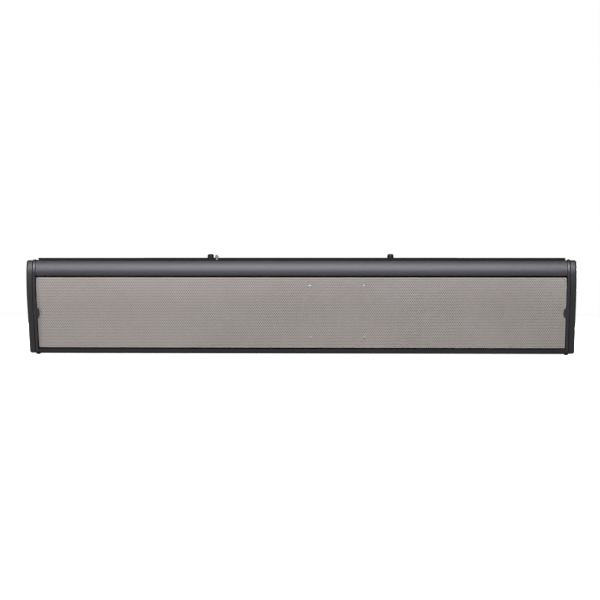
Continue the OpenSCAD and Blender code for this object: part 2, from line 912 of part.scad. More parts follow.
module volume_knob() {
    color("#1c1c1d")
        difference() {
            union() {
                y_rod(knob_x, z_mid, knob_y, knob_y + knob_len - 0.6, knob_r);
                translate([knob_x, knob_y + knob_len, z_mid])
                    rotate([90, 0, 0])
                        cylinder(h = 0.6, r1 = knob_r - 0.6, r2 = knob_r, $fn = 48);
            }
            y_rod(knob_x, z_mid, knob_y - 1, knob_y + knob_len - 1.4, shaft_r - 0.5);
            for (a = [0:20:340])
                translate([knob_x, knob_y - 1, z_mid])
                    rotate([-90, a, 0])
                        translate([knob_r + 0.35, 0, 0])
                            cylinder(h = knob_len - 1, r = 0.75, $fn = 16);
            translate([knob_x - 0.4, knob_y + knob_len - 0.5, z_mid + 1.5])
                cube([0.8, 1, knob_r]);
        }
}

// ---- Boards ----

module main_board() {
    color("#1f5135")
        difference() {
            y_box(recess_x + recess_w / 2, z_mid, recess_w + 10, board_h, board_y - board_t, board_y);
            for (p = board_posts)
                y_rod(p[0], p[1], board_y - board_t - 1, board_y + 1, post_bore);
        }
}

module power_board() {
    color("#1f5135")
        difference() {
            translate([power_x, power_y - board_t, z_mid - 29])
                cube([power_w, board_t, 58]);
            for (p = power_posts)
                y_rod(p[0], p[1], power_y - board_t - 1, power_y + 1, post_bore);
        }
}

module board_posts() {
    color("#b7a05a") {
        for (p = board_posts)
            difference() {
                y_rod(p[0], p[1], board_y, recess_in, post_r);
                y_rod(p[0], p[1], board_y - 1, recess_in + 1, post_bore);
            }
        for (p = power_posts)
            difference() {
                y_rod(p[0], p[1], power_y, in_back, post_r);
                y_rod(p[0], p[1], power_y - 1, in_back + 1, post_bore);
            }
    }
}

module heatsink() {
    fins = 7;
    base_w = 50;
    fin_t = 1.6;
    face = board_y - board_t;
    color("#75777b")
        union() {
            y_box(recess_x + 55, z_mid, base_w, 34, face - 3, face);
            for (k = [0:fins - 1])
                translate([recess_x + 30 + k * (base_w - fin_t) / (fins - 1), face - 14, z_mid - 17])
                    cube([fin_t, 11.5, 34]);
        }
}

module board_capacitors() {
    face = board_y - board_t;
    color("#2b3350") {
        for (x = [recess_x + 92, recess_x + 106], z = [z_mid - 12, z_mid + 12])
            y_rod(x, z, face - 16, face, 5);
        y_rod(power_x + 64, z_mid, power_y - board_t - 30, power_y - board_t, 8);
    }
}

module transformer() {
    face = power_y - board_t;
    color("#8a6a3a")
        union() {
            y_box(power_x + 30, z_mid, 34, 12, face - 26, face);
            y_box(power_x + 30, z_mid, 12, 36, face - 26, face);
            y_rod(power_x + 30, z_mid, face - 24, face - 2, 13);
        }
}

// Threaded inserts for a wall bracket
module wall_inserts() {
    color("#b39a55")
        for (x = [-insert_gap / 2, insert_gap / 2])
            difference() {
                y_rod(x, insert_z, skin_back - insert_len, skin_back, insert_out_r);
                y_rod(x, insert_z, skin_back - insert_len - 1, skin_back + 1, insert_r);
            }
}

// Round wire between two points
module wire(p, q, r) {
    v = q - p;
    len = norm(v);
    translate(p)
        rotate([0, acos(v[2] / len), atan2(v[1], v[0])])
            cylinder(h = len, r = r, $fn = 24);
}

// Where a lead meets a driver of scale k, as [y, z]
function terminal(k) = lean_at(driver_s - 28.5 * k, baffle_in + 22 * k);

// One loom along the housing, with a branch to each driver and each board
module speaker_leads() {
    color("#7a1f1f")
        union() {
            x_rod(-side_x - 4, side_x + 4, loom_y, loom_z, loom_r);
            for (d = [[-side_x, side_scale], [woofer_x, 1], [side_x, side_scale]]) {
                t = terminal(d[1]);
                wire([d[0], loom_y, loom_z], [d[0], t[0] + 1.2, t[1] - 0.8], branch_r);
            }
            wire([recess_x + 90, loom_y, loom_z], [recess_x + 90, board_y - board_t / 2, z_mid - board_h / 2 - 1.3], branch_r);
            wire([power_x + 40, loom_y, loom_z], [power_x + 40, power_y - board_t / 2, z_mid - 29 - 1.3], branch_r);
        }
}

// ---- Drivers, modelled with the front of the baffle at local Z 0 and the axis on local Z ----

module driver_screw_places() {
    for (x = [-1, 1], y = [-1, 1])
        translate([x * woofer_screw_at, y * woofer_screw_at, 0])
            children();
}

module place_driver(x, k) {
    on_baffle(x, driver_s)
        scale(k)
            children();
}

module driver_frame() {
    corner = 10;
    difference() {
        union() {
            // flange
            linear_extrude(frame_t) {
                circle(r = woofer_ring_r + 0.4, $fn = 96);
                square([frame_side - 2 * corner, frame_side], center = true);
                square([frame_side, frame_side - 2 * corner], center = true);
                for (x = [-1, 1], y = [-1, 1])
                    translate([x * (frame_side / 2 - corner), y * (frame_side / 2 - corner)])
                        circle(r = corner, $fn = 40);
            }
            // basket
            rotate_extrude($fn = 96)
                polygon([
                    [basket_r - 1.6, 0.5], [basket_r, 0.5], [basket_r, -8], [26, gap_z - 2],
                    [14, gap_z - 2], [14, gap_z - 0.4], [24.6, gap_z - 0.4], [basket_r - 1.6, -8]
                ]);
            // terminal
            translate([-4, -28.5, -24])
                cube([8, 6, 3]);
        }
        translate([0, 0, -1])
            cylinder(h = 5, r = basket_r - 1, $fn = 96);
        translate([0, 0, -5])
            cylinder(h = 10, r = basket_r - 1.6, $fn = 96);
        driver_screw_places()
            translate([0, 0, -1])
                cylinder(h = 5, r = driver_screw_r + slip, $fn = 24);
        // windows in the basket
        for (a = [0, 90])
            rotate([0, 0, a + 45])
                translate([-40, -9, gap_z + 3])
                    cube([80, 18, 10]);
    }
}

module driver_magnet() {
    union() {
        // top plate and magnet
        translate([0, 0, gap_z - 5])
            difference() {
                cylinder(h = 3, r = 22, $fn = 64);
                translate([0, 0, -1])
                    cylinder(h = 5, r = coil_r + 0.7, $fn = 64);
            }
        translate([0, 0, gap_z - 14])
            difference() {
                cylinder(h = 9, r = 26, $fn = 64);
                translate([0, 0, -1])
                    cylinder(h = 11, r = coil_r + 2.5, $fn = 64);
            }
        // back plate and pole
        translate([0, 0, gap_z - 17])
            cylinder(h = 3, r = 23, $fn = 64);
        translate([0, 0, gap_z - 15])
            cylinder(h = 13, r = coil_r - 1.3, $fn = 64);
    }
}

// Cone, dust cap and voice coil
module driver_cone() {
    paper = 0.7;
    cap_r = 14;
    union() {
        rotate_extrude($fn = 96)
            polygon([
                [cone_r, -1], [cone_r, -1 - paper], [coil_r, -14 - paper], [coil_r, gap_z - 8],
                [coil_r - 0.6, gap_z - 8], [coil_r - 0.6, -14], [cone_r - 1.2, -1]
            ]);
        // domed dust cap
        rotate_extrude($fn = 96)
            intersection() {
                difference() {
                    translate([0, -24.5])
                        circle(r = 19, $fn = 96);
                    translate([0, -24.5])
                        circle(r = 18.4, $fn = 96);
                }
                translate([0, -11.65])
                    square([cap_r, 10]);
            }
    }
}

// Half-roll of rubber between the cone and the frame
module driver_surround() {
    mid = (cone_r + basket_r - 1.6) / 2 + 0.1;
    half = mid - cone_r - 0.2;
    rotate_extrude($fn = 96)
        difference() {
            translate([mid, -1.2])
                circle(r = half, $fn = 40);
            translate([mid, -1.2])
                circle(r = half - 0.6, $fn = 40);
            translate([mid - 5, -7.2])
                square([10, 6]);
        }
}

// Waved cloth disc that centres the voice coil
module driver_spider() {
    inner = coil_r + 0.2;
    outer = 21;
    waves = 3;
    steps = 24;
    base = gap_z + 2.6;
    function wave(k) = 0.8 * sin(360 * waves * k / steps);
    rotate_extrude($fn = 72)
        polygon(concat(
            [for (k = [0:steps]) [inner + (outer - inner) * k / steps, base + wave(k)]],
            [for (k = [steps:-1:0]) [inner + (outer - inner) * k / steps, base + wave(k) + 0.5]]
        ));
}

module driver_trim_ring() {
    translate([0, 0, frame_t])
        difference() {
            cylinder(h = 0.9, r = woofer_ring_r, $fn = 128);
            translate([0, 0, -1])
                cylinder(h = 3, r = woofer_ring_r - 1.3, $fn = 128);
        }
}

module driver_screws() {
    driver_screw_places()
        difference() {
            union() {
                translate([0, 0, -4])
                    cylinder(h = frame_t + 4.5, r = driver_screw_r, $fn = 32);
                translate([0, 0, frame_t])
                    cylinder(h = 1.5, r = 3.3, $fn = 40);
                translate([0, 0, frame_t + 1.5])
                    cylinder(h = 0.8, r1 = 3.3, r2 = 2.4, $fn = 40);
            }
            translate([0, 0, frame_t + 1.1])
                drive_cross(1.5);
        }
}

module woofer_frame() color("#1b1b1c") place_driver(woofer_x, 1) driver_frame();
module woofer_magnet() color("#3a3b3e") place_driver(woofer_x, 1) driver_magnet();
module woofer_cone() color("#3c3a38") place_driver(woofer_x, 1) driver_cone();
module woofer_surround() color("#171717") place_driver(woofer_x, 1) driver_surround();
module woofer_spider() color("#b08a4a") place_driver(woofer_x, 1) driver_spider();
module woofer_trim_ring() color("#b5b5b8") place_driver(woofer_x, 1) driver_trim_ring();
module woofer_screws() color("#c9c9cc") place_driver(woofer_x, 1) driver_screws();

module side_frame(x) color("#1b1b1c") place_driver(x, side_scale) driver_frame();
module side_magnet(x) color("#3a3b3e") place_driver(x, side_scale) driver_magnet();
module side_cone(x) color("#232324") place_driver(x, side_scale) driver_cone();
module side_surround(x) color("#171717") place_driver(x, side_scale) driver_surround();
module side_spider(x) color("#b08a4a") place_driver(x, side_scale) driver_spider();
module side_screws(x) color("#1b1b1c") place_driver(x, side_scale) driver_screws();

housing();
end_ring(-1);  // end_ring_left
end_ring(1);  // end_ring_right
end_cap(-1);  // end_cap_left
end_cap(1);  // end_cap_right
end_cap_screws(-1);  // end_cap_screws_left
end_cap_screws(1);  // end_cap_screws_right
feet();
top_cover();
top_cover_screws();
mounting_plate();
mounting_bolts();
mounting_nuts();
safety_stud();
grille();
front_baffle();
baffle_gasket();
baffle_screws();
chamber_wall(-1);  // chamber_wall_left
chamber_wall(1);  // chamber_wall_right
input_panel();
input_panel_screws();
mains_inlet();
inlet_pins();
power_switch_body();
power_rocker();
phono_jacks();
line_in_jack();
source_switch_body();
source_button();
volume_pot();
volume_shaft();
volume_knob();
main_board();
board_posts();
heatsink();
board_capacitors();
power_board();
transformer();
wall_inserts();
speaker_leads();
woofer_frame();
woofer_magnet();
woofer_cone();
woofer_surround();
woofer_spider();
woofer_trim_ring();
woofer_screws();
side_frame(-side_x);  // left_driver_frame
side_magnet(-side_x);  // left_driver_magnet
side_cone(-side_x);  // left_driver_cone
side_surround(-side_x);  // left_driver_surround
side_spider(-side_x);  // left_driver_spider
side_screws(-side_x);  // left_driver_screws
side_frame(side_x);  // right_driver_frame
side_magnet(side_x);  // right_driver_magnet
side_cone(side_x);  // right_driver_cone
side_surround(side_x);  // right_driver_surround
side_spider(side_x);  // right_driver_spider
side_screws(side_x);  // right_driver_screws
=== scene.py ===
"""Soundbar: an extruded housing with a leaning perforated grille, two-part end caps and a top mounting plate.

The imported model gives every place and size. Each sub-assembly below is a class that builds its meshes in
millimetres, hands them over in metres, and dresses them in finishes named after the real materials.
"""

import json
import logging
import math
from dataclasses import dataclass, replace
from enum import Enum

import bmesh
import bpy
from bmesh.types import BMEdge, BMesh, BMVert
from mathutils import Matrix, Vector

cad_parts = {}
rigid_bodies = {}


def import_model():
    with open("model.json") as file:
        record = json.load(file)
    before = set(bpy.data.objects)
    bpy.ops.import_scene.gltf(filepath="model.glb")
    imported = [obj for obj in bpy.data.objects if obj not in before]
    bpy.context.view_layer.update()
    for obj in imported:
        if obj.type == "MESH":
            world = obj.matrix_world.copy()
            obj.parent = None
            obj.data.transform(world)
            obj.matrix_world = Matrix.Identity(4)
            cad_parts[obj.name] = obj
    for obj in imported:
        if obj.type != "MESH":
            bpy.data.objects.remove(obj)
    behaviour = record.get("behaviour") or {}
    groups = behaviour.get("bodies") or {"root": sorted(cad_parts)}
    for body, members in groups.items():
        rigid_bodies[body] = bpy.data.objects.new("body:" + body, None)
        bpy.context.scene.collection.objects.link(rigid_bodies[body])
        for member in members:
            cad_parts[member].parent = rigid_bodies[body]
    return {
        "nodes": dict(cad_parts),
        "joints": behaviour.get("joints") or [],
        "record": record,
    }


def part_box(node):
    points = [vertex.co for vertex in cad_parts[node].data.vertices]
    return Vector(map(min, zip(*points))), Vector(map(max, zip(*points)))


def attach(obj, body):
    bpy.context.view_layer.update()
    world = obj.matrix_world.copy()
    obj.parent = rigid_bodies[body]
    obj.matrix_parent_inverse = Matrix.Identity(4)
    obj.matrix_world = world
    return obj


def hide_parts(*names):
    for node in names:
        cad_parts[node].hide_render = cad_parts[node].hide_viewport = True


LOG = logging.getLogger("soundbar")
MM = 0.001
WELD_MM = 0.002  # points this close become one
NEAR_MM = 0.01  # measures this close count as the same
FLAT_DEGREES = 0.5  # faces that meet at less than this become one


# ---- Finishes ----


def linear(colour: str) -> tuple[float, float, float, float]:
    """Turns an sRGB hex colour into linear light.

    Args:
        colour: six hex digits after a hash.

    Returns:
        Red, green, blue and an alpha of one.
    """
    parts = [int(colour[k : k + 2], 16) / 255 for k in (1, 3, 5)]
    red, green, blue = [c / 12.92 if c <= 0.04045 else ((c + 0.055) / 1.055) ** 2.4 for c in parts]
    return (red, green, blue, 1.0)


def add_node(tree: bpy.types.NodeTree, kind: str, settings: dict, links: dict) -> bpy.types.Node:
    """Adds one shader node.

    Args:
        tree: the material's node tree.
        kind: Blender's name of the node type.
        settings: socket names or node attributes, with their values.
        links: input socket names, each with the output socket that feeds it.

    Returns:
        The new node.
    """
    node = tree.nodes.new(kind)
    for key, value in settings.items():
        if key in node.inputs:
            node.inputs[key].default_value = value
        else:
            setattr(node, key, value)
    for key, output in links.items():
        tree.links.new(output, node.inputs[key])
    return node


WAVE_BANDS = 3.2  # bands of a wave texture across one unit of its scale
THREAD_WAVER = 0.6
FINE_DETAIL = 5.0
SOFT_DETAIL = 2.0
NOISE_ROUGHNESS = 0.55
DRIFT_DETAIL = 3.0
DRIFT_RANGE = (0.3, 0.7)
COAT_ROUGHNESS = 0.12


class Surface(Enum):
    """How a surface was made, which decides the shape of its relief."""

    PEEL = "powder coat or lacquer, a soft orange peel"
    GRAIN = "moulded or cast, a fine spark-eroded grain"
    BRUSHED = "brushed or drawn, lines along one way"
    TURNED = "turned or plated, nearly smooth"
    FIBRE = "pressed paper, cloth or foam, a random felt"
    WOVEN = "woven cloth, two crossing sets of threads"


@dataclass(frozen=True)
class Finish:
    """One finish, after the real material, with the size of its relief in millimetres."""

    title: str
    colour: str
    shade: str
    roughness: float
    surface: Surface
    relief_mm: float
    depth_mm: float
    metallic: float = 0.0
    patch_mm: float = 60.0
    rough_spread: float = 0.06
    coat: float = 0.0
    sheen: float = 0.0
    specular: float = 0.5
    stretch: tuple[float, float, float] = (1.0, 1.0, 1.0)

    def relief(self, tree: bpy.types.NodeTree, place: bpy.types.NodeSocket) -> bpy.types.NodeSocket:
        """Makes the height pattern.

        Args:
            tree: the material's node tree.
            place: the stretched object coordinates.

        Returns:
            The socket that carries the height.
        """
        scale = 1.0 / (self.relief_mm * MM)
        if self.surface is Surface.WOVEN:
            cloth = add_node(tree, "ShaderNodeMath", {"operation": "MULTIPLY"}, {})
            for threads, direction in zip(cloth.inputs, ("X", "Z")):
                bands = {"bands_direction": direction, "Scale": scale / WAVE_BANDS}
                bands["Distortion"] = THREAD_WAVER
                wave = add_node(tree, "ShaderNodeTexWave", bands, {"Vector": place})
                tree.links.new(wave.outputs["Fac"], threads)
            return cloth.outputs[0]
        detail = FINE_DETAIL if self.surface in (Surface.FIBRE, Surface.GRAIN) else SOFT_DETAIL
        grain = {"Scale": scale, "Detail": detail, "Roughness": NOISE_ROUGHNESS}
        return add_node(tree, "ShaderNodeTexNoise", grain, {"Vector": place}).outputs["Fac"]

    def make(self) -> bpy.types.Material:
        """Builds the material.

        Returns:
            A node material with colour drift, uneven roughness and relief.
        """
        material = bpy.data.materials.new(self.title)
        material.use_nodes = True
        tree = material.node_tree
        shader = tree.nodes["Principled BSDF"]
        uniform = {
            "Metallic": self.metallic,
            "Coat Weight": self.coat,
            "Coat Roughness": COAT_ROUGHNESS,
            "Sheen Weight": self.sheen,
            "Specular IOR Level": self.specular,
        }
        for socket, value in uniform.items():
            shader.inputs[socket].default_value = value
        place = add_node(tree, "ShaderNodeTexCoord", {}, {}).outputs["Object"]
        along = add_node(tree, "ShaderNodeMapping", {"Scale": self.stretch}, {"Vector": place})
        height = self.relief(tree, along.outputs["Vector"])
        patches = {"Scale": 1.0 / (self.patch_mm * MM), "Detail": DRIFT_DETAIL}
        drift = add_node(tree, "ShaderNodeTexNoise", patches, {"Vector": place})
        tint = add_node(tree, "ShaderNodeValToRGB", {}, {"Fac": drift.outputs["Fac"]})
        for stop, position, colour in zip(tint.color_ramp.elements, DRIFT_RANGE, (self.shade, self.colour)):
            stop.position = position
            stop.color = linear(colour)
        tree.links.new(tint.outputs["Color"], shader.inputs["Base Color"])
        spread = {"To Min": self.roughness - self.rough_spread, "To Max": self.roughness + self.rough_spread}
        wear = add_node(tree, "ShaderNodeMapRange", spread, {"Value": height})
        tree.links.new(wear.outputs["Result"], shader.inputs["Roughness"])
        bumps = {"Strength": 1.0, "Distance": self.depth_mm * MM}
        bump = add_node(tree, "ShaderNodeBump", bumps, {"Height": height})
        tree.links.new(bump.outputs["Normal"], shader.inputs["Normal"])
        return material


FINISHES = {
    # powder-coated aluminium extrusion: near black, satin, with a soft orange peel that breaks the highlight
    "housing_paint": Finish("powder_coated_extrusion", "#222123", "#1e1d1f", 0.38, Surface.PEEL, 2.4, 0.012),
    # the same coat on the cast rings: a little smoother, so the bead catches a brighter line
    "ring_paint": Finish("satin_coated_casting", "#302f32", "#29282b", 0.30, Surface.PEEL, 2.0, 0.008),
    # moulded ABS with a spark-eroded grain: evenly matt
    "cap_plastic": Finish("moulded_abs_cap", "#2a2826", "#242322", 0.40, Surface.GRAIN, 1.2, 0.014),
    # black powder coat on folded steel sheet
    "cover_black": Finish(
        "black_powder_coated_steel", "#101011", "#0d0d0e", 0.66, Surface.PEEL, 2.2, 0.014, specular=0.25,
    ),
    # black oxide on alloy steel screws: dark, with a dry sheen
    "bolt_black": Finish(
        "black_oxide_steel", "#141416", "#0e0e10", 0.48, Surface.TURNED, 0.8, 0.004, metallic=0.2,
    ),
    # zinc and nickel plated steel: bright, slightly warm, satin rather than mirror-like
    "bright_steel": Finish(
        "nickel_plated_stud", "#c9c6bf", "#b7b4ad", 0.36, Surface.TURNED, 0.9, 0.002, metallic=1.0,
    ),
    # warm grey stoved enamel on perforated steel sheet
    "grille_paint": Finish("stoved_enamel_grille", "#a19b94", "#9b958d", 0.48, Surface.PEEL, 1.6, 0.010),
    # black painted particle board
    "baffle_black": Finish("black_painted_board", "#1b1b1c", "#141415", 0.70, Surface.FIBRE, 1.5, 0.030),
    # closed-cell foam strip
    "foam_black": Finish(
        "closed_cell_foam", "#1a1a1b", "#101011", 0.92, Surface.FIBRE, 1.1, 0.080, sheen=0.1,
    ),
    # moulded nitrile rubber: matt with a dusty bloom
    "rubber_black": Finish("moulded_nitrile_rubber", "#202021", "#19191a", 0.72, Surface.GRAIN, 0.9, 0.015),
    # black painted steel pressing of the connector recess
    "panel_black": Finish("painted_steel_pressing", "#202022", "#1b1b1d", 0.50, Surface.PEEL, 1.6, 0.012),
    # moulded polyamide of sockets and switches: a fine matt grain
    "black_plastic": Finish("moulded_polyamide", "#1e1e1f", "#18181a", 0.46, Surface.GRAIN, 0.8, 0.010),
    # turned brass, dulled by handling
    "brass": Finish("turned_brass", "#b08d4c", "#9c7a3e", 0.30, Surface.TURNED, 0.8, 0.003, metallic=1.0),
    # bright nickel plate on the phono barrels
    "jack_nickel": Finish(
        "nickel_plated_barrel", "#c9c7c2", "#b7b5b0", 0.18, Surface.TURNED, 0.9, 0.002, metallic=1.0,
    ),
    # soft-touch lacquer over the moulded knob
    "knob_plastic": Finish("soft_touch_knob", "#29292b", "#222224", 0.58, Surface.GRAIN, 0.7, 0.008),
    # die-cast zinc, left as cast
    "zinc_cast": Finish("die_cast_zinc", "#8f9092", "#7c7d80", 0.44, Surface.GRAIN, 1.2, 0.012, metallic=1.0),
    # glass-fibre board under green solder mask: glossy with the weave just showing
    "board_green": Finish(
        "solder_masked_board", "#1f5a37", "#184a2d", 0.32, Surface.WOVEN, 0.9, 0.006, coat=0.3,
    ),
    # extruded aluminium fins, drawn lines along the bar
    "fin_aluminium": Finish(
        "extruded_fin_aluminium", "#a7a9ac", "#95979a", 0.36, Surface.BRUSHED, 0.6, 0.006,
        metallic=1.0, stretch=(0.05, 1.0, 1.0),
    ),
    # heat-shrunk sleeve of the capacitors
    "capacitor_sleeve": Finish("heat_shrunk_sleeve", "#23283a", "#1c2030", 0.34, Surface.PEEL, 1.4, 0.006),
    # varnished transformer laminations, seen edge on
    "transformer_iron": Finish(
        "varnished_laminations", "#5a5148", "#463f38", 0.50, Surface.BRUSHED, 0.7, 0.030,
        metallic=0.6, stretch=(0.05, 0.05, 1.0),
    ),
    # plasticised PVC sleeve of the leads
    "lead_sleeve": Finish("pvc_sleeve", "#7c2320", "#6a1d1a", 0.42, Surface.PEEL, 1.5, 0.008),
    # black e-coat on the pressed driver baskets
    "frame_black": Finish("e_coated_basket", "#1f1f21", "#18181a", 0.44, Surface.PEEL, 1.4, 0.008),
    # sintered ferrite ring with ground plates
    "magnet_grey": Finish(
        "sintered_ferrite", "#3a3a3d", "#2f2f32", 0.62, Surface.GRAIN, 1.0, 0.020, metallic=0.2,
    ),
    # pressed paper pulp of the cones
    "cone_paper": Finish(
        "pressed_paper_cone", "#35342f", "#2a2925", 0.82, Surface.FIBRE, 1.3, 0.050, sheen=0.1,
    ),
    # butyl rubber roll surround
    "surround_rubber": Finish("butyl_rubber_surround", "#1c1c1d", "#151516", 0.55, Surface.GRAIN, 1.0, 0.008),
    # phenolic-soaked cloth of the spiders
    "spider_cloth": Finish("phenolic_cloth_spider", "#b9893f", "#a3762f", 0.75, Surface.WOVEN, 0.8, 0.060),
    # anodised aluminium trim ring, brushed round
    "trim_aluminium": Finish(
        "anodised_aluminium_ring", "#7d7f82", "#737578", 0.34, Surface.BRUSHED, 0.7, 0.003, metallic=1.0,
    ),
}


# ---- Mesh helpers, all in millimetres ----


@dataclass(frozen=True)
class Frame:
    """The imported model: its objects, and what the record says of each node."""

    nodes: dict[str, bpy.types.Object]
    body_of: dict[str, str]
    slot_of: dict[str, str]
    lean: float

    @classmethod
    def load(cls) -> "Frame":
        """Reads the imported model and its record.

        Returns:
            The frame.
        """
        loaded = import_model()
        record = loaded["record"]
        bodies = record["behaviour"]["bodies"]
        travel = next(j for j in loaded["joints"] if j["name"] == "woofer_travel")
        return cls(
            nodes=loaded["nodes"],
            body_of={node: body for body, nodes in bodies.items() for node in nodes},
            slot_of={part["node"]: part["material_slot"] for part in record["subparts"]},
            lean=math.atan2(-travel["axis"][2], -travel["axis"][1]),
        )


def box_mm(node: str) -> tuple[Vector, Vector]:
    """Gives the lowest and highest corners of a node, in millimetres."""
    low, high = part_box(node)
    return low / MM, high / MM


def corner_edges(bm: BMesh, angle: float) -> list[BMEdge]:
    """Gives the edges where two faces meet at more than an angle in degrees."""
    limit = math.radians(angle)
    return [e for e in bm.edges if len(e.link_faces) == 2 and e.calc_face_angle(0.0) > limit]


def round_corners(bm: BMesh, width: float, segments: int = 2, angle: float = 40.0) -> None:
    """Rounds every sharp edge.

    Args:
        bm: the mesh.
        width: how far the rounding reaches from the edge.
        segments: how many faces make the rounding.
        angle: the least angle in degrees that counts as sharp.
    """
    bmesh.ops.bevel(
        bm, geom=corner_edges(bm, angle), offset=width, offset_type="OFFSET", affect="EDGES",
        segments=segments, profile=0.5, material=-1, clamp_overlap=True,
    )


def thicken(bm: BMesh, wall: float, outward: Vector) -> None:
    """Gives an open sheet its wall, behind the face that looks outward.

    Args:
        bm: the open sheet.
        wall: the thickness.
        outward: the way that the largest face looks.
    """
    bmesh.ops.recalc_face_normals(bm, faces=bm.faces)
    largest = max(bm.faces, key=lambda face: face.calc_area())
    if largest.normal.dot(outward) < 0:
        bmesh.ops.reverse_faces(bm, faces=bm.faces)
    bmesh.ops.solidify(bm, geom=bm.faces[:], thickness=wall)


def new_of(made: dict, kind: type) -> list:
    """Gives the elements of one kind among what an operator made."""
    return [element for element in made["geom"] if isinstance(element, kind)]


def near(value: float, *targets: float) -> bool:
    """Says whether a value is at one of the targets."""
    return any(abs(value - target) < NEAR_MM for target in targets)


def cut(bm: BMesh, point: tuple[float, float, float], way: tuple[float, float, float], clear: bool) -> None:
    """Cuts all of a mesh through a plane.

    Args:
        bm: the mesh.
        point: a point of the plane.
        way: where the plane looks.
        clear: whether what lies that way is taken off.
    """
    bmesh.ops.bisect_plane(
        bm, geom=bm.verts[:] + bm.edges[:] + bm.faces[:], plane_co=point, plane_no=way, clear_outer=clear
    )


def join(bm: BMesh, part: BMesh) -> None:
    """Adds a finished part to a mesh.

    Args:
        bm: the mesh.
        part: the finished part, which is freed.
    """
    spare = bpy.data.meshes.new("part")
    part.to_mesh(spare)
    part.free()
    bm.from_mesh(spare)
    bpy.data.meshes.remove(spare)


def upright(x: float, y: float, z: float, axis: str) -> Matrix:
    """Places a flat shape upright, by a quarter turn about X or Y."""
    return Matrix.Translation((x, y, z)) @ Matrix.Rotation(math.radians(90), 4, axis)


def circle_edges(bm: BMesh, radius: float, place: Matrix, segments: int = 32) -> list[BMEdge]:
    """Adds a circle and gives its edges."""
    made = bmesh.ops.create_circle(bm, cap_ends=False, radius=radius, segments=segments, matrix=place)
    return list({edge for vert in made["verts"] for edge in vert.link_edges})


def window_edges(bm: BMesh, width: float, height: float, radius: float, place: Matrix) -> list[BMEdge]:
    """Adds a rectangle with round corners.

    Args:
        bm: the mesh.
        width: the rectangle's width.
        height: its height.
        radius: the radius of its corners.
        place: where its middle is, and how it is turned.

    Returns:
        Its edges.
    """
    old_edges = set(bm.edges)
    old_faces = set(bm.faces)
    made = bmesh.ops.create_grid(
        bm, x_segments=1, y_segments=1, size=0.5, matrix=place @ Matrix.Diagonal((width, height, 1, 1))
    )
    bmesh.ops.bevel(
        bm, geom=made["verts"], offset=radius, offset_type="OFFSET", affect="VERTICES",
        segments=4, profile=0.5, material=-1,
    )
    bmesh.ops.delete(bm, geom=[f for f in bm.faces if f not in old_faces], context="FACES_ONLY")
    return [e for e in bm.edges if e not in old_edges]


def draw_out(
    bm: BMesh, rim: list[BMEdge], centre: Vector, profile: list[tuple[float, float]]
) -> list[BMEdge]:
    """Turns a ring of edges into a round wall, one step after another.

    Args:
        bm: the mesh.
        rim: the ring's edges, drawn flat about the centre.
        centre: a point on the upright axis of the ring.
        profile: the radius and height of the ring, first as it is and then after each step.

    Returns:
        The edges of the last ring.
    """
    for (radius, z), (next_radius, next_z) in zip(profile, profile[1:]):
        made = bmesh.ops.extrude_edge_only(bm, edges=rim)
        verts = new_of(made, BMVert)
        rim = new_of(made, BMEdge)
        ratio = next_radius / radius
        bmesh.ops.scale(bm, vec=(ratio, ratio, 1), space=Matrix.Translation(-centre), verts=verts)
        bmesh.ops.translate(bm, verts=verts, vec=(0, 0, next_z - z))
    return rim


class Workshop:
    """Turns meshes into dressed pieces that ride on their bodies."""

    def __init__(self, frame: Frame) -> None:
        """Keeps the frame and makes one material for each slot."""
        self.frame = frame
        self.materials = {slot: finish.make() for slot, finish in FINISHES.items()}

    def hand_over(
        self, name: str, bm: BMesh, node: str, smooth: float = 35.0, slot: str = ""
    ) -> bpy.types.Object:
        """Makes the piece that stands for a node.

        Args:
            name: the piece's name.
            bm: its finished mesh in millimetres, which is freed.
            node: the node that it replaces, whose body and slot it takes.
            smooth: the angle in degrees below which faces shade as one.
            slot: its material slot, where it isn't the node's own.

        Returns:
            The new piece.
        """
        bmesh.ops.scale(bm, vec=(MM, MM, MM), verts=bm.verts)
        limit = math.radians(smooth)
        for face in bm.faces:
            face.smooth = True
        for edge in bm.edges:
            edge.smooth = len(edge.link_faces) == 2 and edge.calc_face_angle(0.0) < limit
        mesh = bpy.data.meshes.new(name)
        bm.to_mesh(mesh)
        bm.free()
        if "custom_normal" in mesh.attributes:
            mesh.attributes.remove(mesh.attributes["custom_normal"])
        piece = bpy.data.objects.new(name, mesh)
        bpy.context.scene.collection.objects.link(piece)
        slot = slot or self.frame.slot_of[node]
        mesh.materials.append(self.materials[slot])
        normals = piece.modifiers.new("flat faces stay flat", "WEIGHTED_NORMAL")
        normals.keep_sharp = True
        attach(piece, self.frame.body_of[node])
        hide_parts(node)
        LOG.info("%s stands for %s, %d faces", name, node, len(mesh.polygons))
        return piece

    def softened(self, node: str, width: float, segments: int = 2) -> bpy.types.Object:
        """Replaces a node by a copy whose sharp edges are rounded.

        Args:
            node: the node to copy.
            width: the width of the rounding.
            segments: how many faces make the rounding.

        Returns:
            The new piece.
        """
        bm = bmesh.new()
        bm.from_mesh(self.frame.nodes[node].data)
        bmesh.ops.scale(bm, vec=(1 / MM, 1 / MM, 1 / MM), verts=bm.verts)
        bmesh.ops.remove_doubles(bm, verts=bm.verts, dist=WELD_MM)
        bmesh.ops.dissolve_limit(bm, angle_limit=math.radians(FLAT_DEGREES), verts=bm.verts, edges=bm.edges)
        round_corners(bm, width, segments)
        return self.hand_over(node + "_finished", bm, node)

    def dress_nodes(self) -> None:
        """Gives every node of the frame the material of its slot."""
        for name, node in self.frame.nodes.items():
            material = self.materials[self.frame.slot_of[name]]
            if not node.material_slots:
                node.data.materials.append(material)
            for slot in node.material_slots:
                slot.material = material


# ---- Side outline ----


